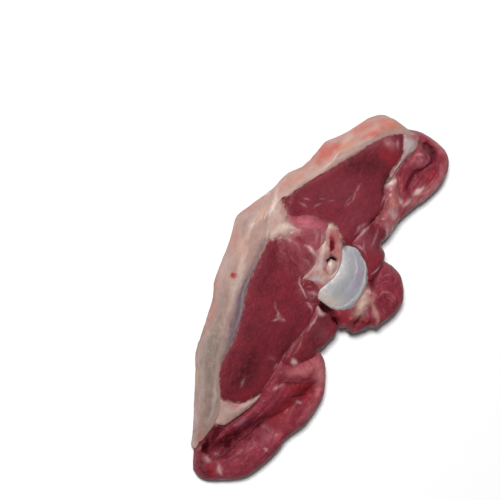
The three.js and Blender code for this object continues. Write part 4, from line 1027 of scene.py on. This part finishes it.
def painted(piece, points):
    """How strongly each kind of mark shows at each point.

    A mark is strength · exp(-(distance / width)²) about a curve through its path. The curve
    wavers, the strength is patchy, and a long mark thins and fades towards its ends.
    """
    laid = points[:, :2].copy()
    laid[:, 1] += (points[:, 2] - FACE_HEIGHT) * SIDE_SLANT
    laid[:, 0] += noises(points, WAVER)
    laid[:, 1] += noises(points + WAVER_APART, WAVER)
    patchy = 1 + noises(points, PATCHES)
    values = {kind: np.zeros(len(points)) for kind in KINDS}
    for kind, width, strength, *path in MARKS[piece["node"]]:
        length = np.linalg.norm(np.diff(path, axis=0), axis=1).sum()
        curve = smooth(path, max(2, round(length / CURVE_STEP)))
        reach = MARK_REACH * width
        near = np.all((laid > curve.min(0) - reach) & (laid < curve.max(0) + reach), axis=1)
        at = laid[near]
        ends = np.minimum(*(np.linalg.norm(at - end, axis=1) for end in (curve[0], curve[-1])))
        fade = END_FADE * min(1, length / width / LONG_MARK)
        full = 1 - fade * np.exp(-(ends / (END_REACH * length))**2)
        away = distance(at, segments(curve))
        shown = strength * full * patchy[near] * np.exp(-(away / (width * full))**2)
        values[kind][near] = np.maximum(values[kind][near], shown)
    # The tone: light marks less deep ones, and the deep ones carry some painted shade
    values["tone"] = values.pop("light") - values.pop("deep")
    return values


def mingled(piece, points):
    """What shows of the neighbours past their seams: the mix of their colors, and how much.

    The share is a half at the seam and falls to none over the width of the fringe. Noise that
    runs on across the seam shifts it to and fro, so that the two tissues interlock.
    """
    waver = noises(points, INTERLOCK)
    shares, tints = [np.full(len(points), NO_SHARE)], [np.zeros(3)]
    for upper, lower, seam in SEAMS:
        if piece is not upper and piece is not lower:
            continue
        other = lower if piece is upper else upper
        away = distance(points[:, :2], seam) / fringe(piece, other)
        shift = waver if piece is upper else -waver
        shares.append(np.clip(0.5 - 0.5 * away + shift * np.exp(-away * away / 2), 0, 1))
        finish = FINISHES[other["slot"]]
        tints.append(np.mean([color(finish[name])[:3] for name in ("ground", "second")], axis=0))
    shares, tints = np.array(shares), np.array(tints)
    return shares.T @ tints / shares.sum(axis=0)[:, None], shares.max(axis=0)


def wall(plan, top, foot, side):
    """Rows of points down the wall under one side of the face."""
    t = np.linspace(0, 1, WALL_ROWS + 2)[1:-1]
    heights = top[:, side, None] * (1 - t) + foot[:, side, None] * t
    places = np.repeat(plan[:, side, None], WALL_ROWS, axis=1)
    return np.concatenate([places, heights[..., None]], axis=2)


def around(face, *walls):
    """A value all round each ring: the underside's is the face's, and a wall's its edge's."""
    back, near = walls or (np.repeat(face[:, side, None], WALL_ROWS, axis=1) for side in (-1, 0))
    return np.concatenate([face, back, face[:, ::-1], near], axis=1)


def surface(piece, masters):
    """Rings of points round a piece at each station of its rails, what is painted on them, and
    how many points of a ring lie on the face.

    A ring goes over the upper face from the near rail to the back one, down the wall, back along
    the underside and up the wall. Across, the points lie closer at the rails, as 1 - cos.
    """
    near, back = rails(piece, STEP)
    apart = np.linalg.norm(back - near, axis=1)
    across = max(FEWEST_ACROSS, int(np.ceil(apart.max() * np.pi / 2 / STEP))) + 1
    v = (1 - np.cos(np.linspace(0, np.pi, across))) / 2
    plan = near[:, None] + (back - near)[:, None] * v[:, None]
    shape = plan.shape[:2]
    flat = plan.reshape(-1, 2)
    top, foot, hollow, seam, edge = relief(piece, masters, flat)
    values = painted(piece, np.column_stack([flat, top]))
    ridge, crease = values.pop("ridge"), values.pop("crease")
    top += ridge - crease + CARVE * (PALE_RISE * values["pale"] - values["dark"])
    here = np.column_stack([flat, top])
    calm = 1 - np.exp(-seam / SEAM_WIDTH)
    top += calm * noises(here, LUMPS) + noises(here, PORES)
    top += piece.get("wrinkle", 0) * calm * noise(here * WRINKLE_DRAW, WRINKLE_SIZE)
    # Painted shade in creases and folds, by their depth, laid in with the dark marks
    shade = np.clip(crease / CREASE_DEPTH + hollow / FOLD_DEPTH - SHADE_START, 0, SHADE_MOST)
    values["dark"] = np.maximum(values["dark"], shade)
    values["rim"] = RIM * np.exp(-edge / RIM_WIDTH)
    tint, share = mingled(piece, here)

    top, foot = top.reshape(shape), foot.reshape(shape)
    back_wall, near_wall = wall(plan, top, foot, -1), wall(plan, top, foot, 0)[:, ::-1]
    upper, under = (np.concatenate([plan, z[..., None]], axis=2) for z in (top, foot))
    rings = np.concatenate([upper, back_wall, under[:, ::-1], near_wall], axis=1)

    sides = [painted(piece, side.reshape(-1, 3)) for side in (back_wall, near_wall)]
    for side in sides:
        side["rim"] = np.full(len(near) * WALL_ROWS, RIM)
    for name, value in values.items():
        walls = (side[name].reshape(-1, WALL_ROWS) for side in sides)
        values[name] = around(value.reshape(shape), *walls)
    values["mingled"] = around(share.reshape(shape))
    values["neighbor"] = around(tint.reshape(*shape, 3))

    # Coordinates for the grain: along the rails and across, and on down the walls
    along = np.arange(len(near))[:, None] * STEP
    flow = around(np.stack(np.broadcast_arrays(along, apart[:, None] * (v - 0.5), 0), axis=2))
    flow[:, across:across + WALL_ROWS, 1] += top[:, -1, None] - back_wall[..., 2]
    flow[:, -WALL_ROWS:, 1] -= top[:, 0, None] - near_wall[..., 2]
    values["flow"] = flow
    return rings, values, across


def ruffled(points):
    """Shifts every point sideways a little by noise, alike in all pieces, so seams stay tight."""
    moved = points.copy()
    moved[:, 0] += noises(points, RUFFLE)
    moved[:, 1] += noises(points + RUFFLE_APART, RUFFLE)
    return moved


def store(mesh, name, kind, field, data):
    """Keeps a value of each point in the mesh, for the materials to read."""
    layer = mesh.attributes.new(name, kind, "POINT")
    layer.data.foreach_set(field, data.astype(np.float32).ravel())


def closed_mesh(name, rings, values, across):
    """Joins each ring to the next. At both tips the ring folds flat, so its two walls are one."""
    stations, ring_points, _ = rings.shape
    own = np.arange(stations * ring_points).reshape(stations, ring_points)
    under = across + WALL_ROWS
    for tip in (own[0], own[-1]):
        tip[:across] = tip[0]
        tip[under:under + across] = tip[under]
        tip[under + across:] = tip[across:under][::-1]
    turned = np.roll(own, -1, axis=1)
    quads = np.stack([own[:-1], turned[:-1], turned[1:], own[1:]], axis=-1).reshape(-1, 4)
    faces = np.concatenate([quads[:, [0, 1, 2]], quads[:, [0, 2, 3]]])
    a, b, c = faces.T
    faces = faces[(a != b) & (b != c) & (c != a)]
    used, faces = np.unique(faces, return_inverse=True)
    faces = faces.reshape(-1, 3)
    points = ruffled(rings.reshape(-1, 3)[used])
    corners = points[faces]
    volume = np.einsum("ij,ij->i", corners[:, 0], np.cross(corners[:, 1], corners[:, 2])).sum()
    if volume < 0:
        faces = faces[:, ::-1]
    mesh = bpy.data.meshes.new(name)
    mesh.from_pydata(points * MM, [], faces)
    mesh.shade_smooth()
    mesh.set_sharp_from_angle(angle=np.radians(SHARP_ANGLE))
    store(mesh, "flow", "FLOAT_VECTOR", "vector", values.pop("flow").reshape(-1, 3)[used] * MM)
    tint = values.pop("neighbor").reshape(-1, 3)[used]
    store(mesh, "neighbor", "FLOAT_COLOR", "color", np.column_stack([tint, np.ones(len(used))]))
    # Every painted value, stains and painted shade alike, is kept under its name
    for stain_and_shade, value in values.items():
        store(mesh, stain_and_shade, "FLOAT", "value", value.reshape(-1)[used])
    return mesh


# Materials

def per(size_mm):
    """The scale of a texture whose pattern repeats at this size."""
    return 1 / (size_mm * MM)


def add(tree, kind, sockets=(), **settings):
    """Adds a node with its settings; a socket takes a value, or a link from another node."""
    made = tree.nodes.new(kind)
    for name, value in settings.items():
        setattr(made, name, value)
    for key, value in dict(sockets).items():
        if isinstance(value, bpy.types.NodeSocket):
            tree.links.new(value, made.inputs[key])
        else:
            made.inputs[key].default_value = value
    return made


def stored(tree, name, output="Fac"):
    """What the mesh keeps under this name."""
    return add(tree, "ShaderNodeAttribute", attribute_name=name).outputs[output]


def cloudy(tree, place, size, detail=4, roughness=0.6):
    """A noise texture."""
    return add(tree, "ShaderNodeTexNoise", {
        "Vector": place, "Scale": per(size), "Detail": detail, "Roughness": roughness}).outputs[0]


def ramp(tree, value, start, end, low=0, high=1):
    """Takes a value that runs from start to end to one that runs from low to high."""
    return add(tree, "ShaderNodeMapRange", {
        "Value": value, "From Min": start, "From Max": end,
        "To Min": low, "To Max": high}).outputs[0]


def scaled(tree, value, factor, added=0, **settings):
    """value · factor + added."""
    return add(tree, "ShaderNodeMath", {0: value, 1: factor, 2: added},
               operation="MULTIPLY_ADD", **settings).outputs[0]


def blend(tree, share, under, over):
    """One color laid over another by a share."""
    return add(tree, "ShaderNodeMix", {0: share, 6: under, 7: over}, data_type="RGBA").outputs[2]


def tissue(finish):
    """One wet tissue: a blotched ground, shaded by its grain, under its stains and painted shade.
    """
    material = bpy.data.materials.new(finish["name"])
    material.use_nodes = True
    tree = material.node_tree
    tree.nodes.clear()
    pale = color(finish["stains_and_shades"]["pale"])
    place = add(tree, "ShaderNodeTexCoord").outputs["Object"]
    drawn = add(tree, "ShaderNodeVectorMath", {
        0: stored(tree, "flow", "Vector"), 1: finish["draw"]}, operation="MULTIPLY").outputs[0]
    spread = ramp(tree, cloudy(tree, place, finish["blotch"]), *BLOTCHING)
    grain = cloudy(tree, drawn, finish["grain"], detail=3, roughness=0.65)
    ground = blend(tree, spread, color(finish["ground"]), color(finish["second"]))
    contrast = finish["contrast"]
    toned = scaled(tree, stored(tree, "tone"), finish["tone"], 1 - contrast / 2)
    colored = add(tree, "ShaderNodeVectorMath", {
        0: ground, 3: scaled(tree, grain, contrast, toned)}, operation="SCALE").outputs[0]
    if finish["web"]:
        border = add(tree, "ShaderNodeTexVoronoi", {
            "Vector": place, "Scale": per(finish["web_size"])},
            feature="DISTANCE_TO_EDGE").outputs[0]
        line = ramp(tree, border, WEB_LINE, 0, high=finish["web"])
        colored = blend(tree, scaled(tree, line, spread), colored, pale)
    colored = blend(tree, stored(tree, "mingled"), colored, stored(tree, "neighbor", "Color"))
    if finish["fleck"]:
        specks = cloudy(tree, drawn, FLECK_SIZE)
        colored = blend(tree, ramp(tree, specks, *FLECKING, high=finish["fleck"]), colored, pale)
    # Stains, the painted shade of the dark marks and the painted glints among the pale ones, in
    # order
    for stain_and_shade, code in finish["stains_and_shades"].items():
        colored = blend(tree, stored(tree, stain_and_shade), colored, color(code))
    bump = add(tree, "ShaderNodeBump", {
        "Height": grain, "Strength": 1, "Distance": finish["depth"] * MM}).outputs[0]
    gloss = ramp(tree, spread, 0, 1, *(finish["roughness"] + change for change in GLOSS))
    hollow = stored(tree, "dark")
    shine, coat = (scaled(tree, hollow, -finish[name], finish[name], use_clamp=True)
                   for name in ("shine", "coat"))
    shader = add(tree, "ShaderNodeBsdfPrincipled", {
        "Base Color": colored, "Roughness": gloss, "Normal": bump, "IOR": FLESH_IOR,
        "Subsurface Weight": finish["subsurface"], "Subsurface Radius": finish["radius"],
        "Subsurface Scale": MM, "Specular IOR Level": shine, "Coat Weight": coat,
        "Coat Roughness": COAT_ROUGHNESS})
    add(tree, "ShaderNodeOutputMaterial", {"Surface": shader.outputs[0]})
    return material


# Floor, light and camera

def place_in_scene(name, data):
    """A new object of the scene with this data."""
    made = bpy.data.objects.new(name, data)
    bpy.context.scene.collection.objects.link(made)
    return made


def make_floor():
    """A plain pale sheet under the slice."""
    low, high = -FLOOR_HALF * MM, FLOOR_HALF * MM
    mesh = bpy.data.meshes.new("floor")
    mesh.from_pydata([(low, low, 0), (high, low, 0), (high, high, 0), (low, high, 0)], [],
                     [(0, 1, 2, 3)])
    material = bpy.data.materials.new("White laminate")
    material.use_nodes = True
    shader = material.node_tree.nodes["Principled BSDF"]
    shader.inputs["Base Color"].default_value = color("#EEEEEE")
    shader.inputs["Roughness"].default_value = 0.9
    mesh.materials.append(material)
    floor = place_in_scene("floor", mesh)


def make_light():
    """A square soft light, like a window on the fat side."""
    light = bpy.data.lights.new("window", "AREA")
    light.size = LIGHT_SIZE * MM
    light.energy = LIGHT_POWER
    bearing, height = np.radians((LIGHT_BEARING, LIGHT_HEIGHT))
    flat = np.cos(height)
    toward = Vector((flat * np.cos(bearing), flat * np.sin(bearing), np.sin(height)))
    lamp = place_in_scene("window", light)
    lamp.location = toward * LIGHT_AWAY * MM
    lamp.rotation_euler = toward.to_track_quat("Z", "Y").to_euler()


def make_camera():
    """Looks down from the fat side, turned about its own axis so that the slice lies aslant."""
    rise, roll = np.radians(CAMERA_HEIGHT), np.radians(CAMERA_ROLL)
    back = Vector((0, -np.cos(rise), np.sin(rise)))
    level_right, level_up = Vector((1, 0, 0)), Vector((0, np.sin(rise), np.cos(rise)))
    right = level_right * np.cos(roll) + level_up * np.sin(roll)
    up = level_up * np.cos(roll) - level_right * np.sin(roll)
    camera = bpy.data.cameras.new("camera")
    camera.sensor_width = SENSOR_WIDTH
    camera.lens = SENSOR_WIDTH * CAMERA_AWAY / CAMERA_SPAN
    view = place_in_scene("camera", camera)
    place = Vector(CAMERA_AIM) * MM + back * CAMERA_AWAY * MM
    turn = Matrix((right, up, back)).transposed().to_4x4()
    view.matrix_world = Matrix.Translation(place) @ turn
    bpy.context.scene.camera = view


def make_world():
    """Even white light from all round, and colors shown as they are."""
    world = bpy.data.worlds.new("white room")
    world.use_nodes = True
    background = world.node_tree.nodes["Background"]
    background.inputs["Color"].default_value = color("#FFFFFF")
    background.inputs["Strength"].default_value = ROOM_LIGHT
    bpy.context.scene.world = world
    bpy.context.scene.view_settings.view_transform = "Standard"


materials = {slot: tissue(finish) for slot, finish in FINISHES.items()}
for rank, piece in enumerate(PIECES):
    name = "cut_" + piece["node"]
    mesh = closed_mesh(name, *surface(piece, PIECES[:rank]))
    mesh.materials.append(materials[piece["slot"]])
    cut = place_in_scene(name, mesh)
    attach(cut, "root")
    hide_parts(piece["node"])

make_floor()
make_world()
make_light()
make_camera()
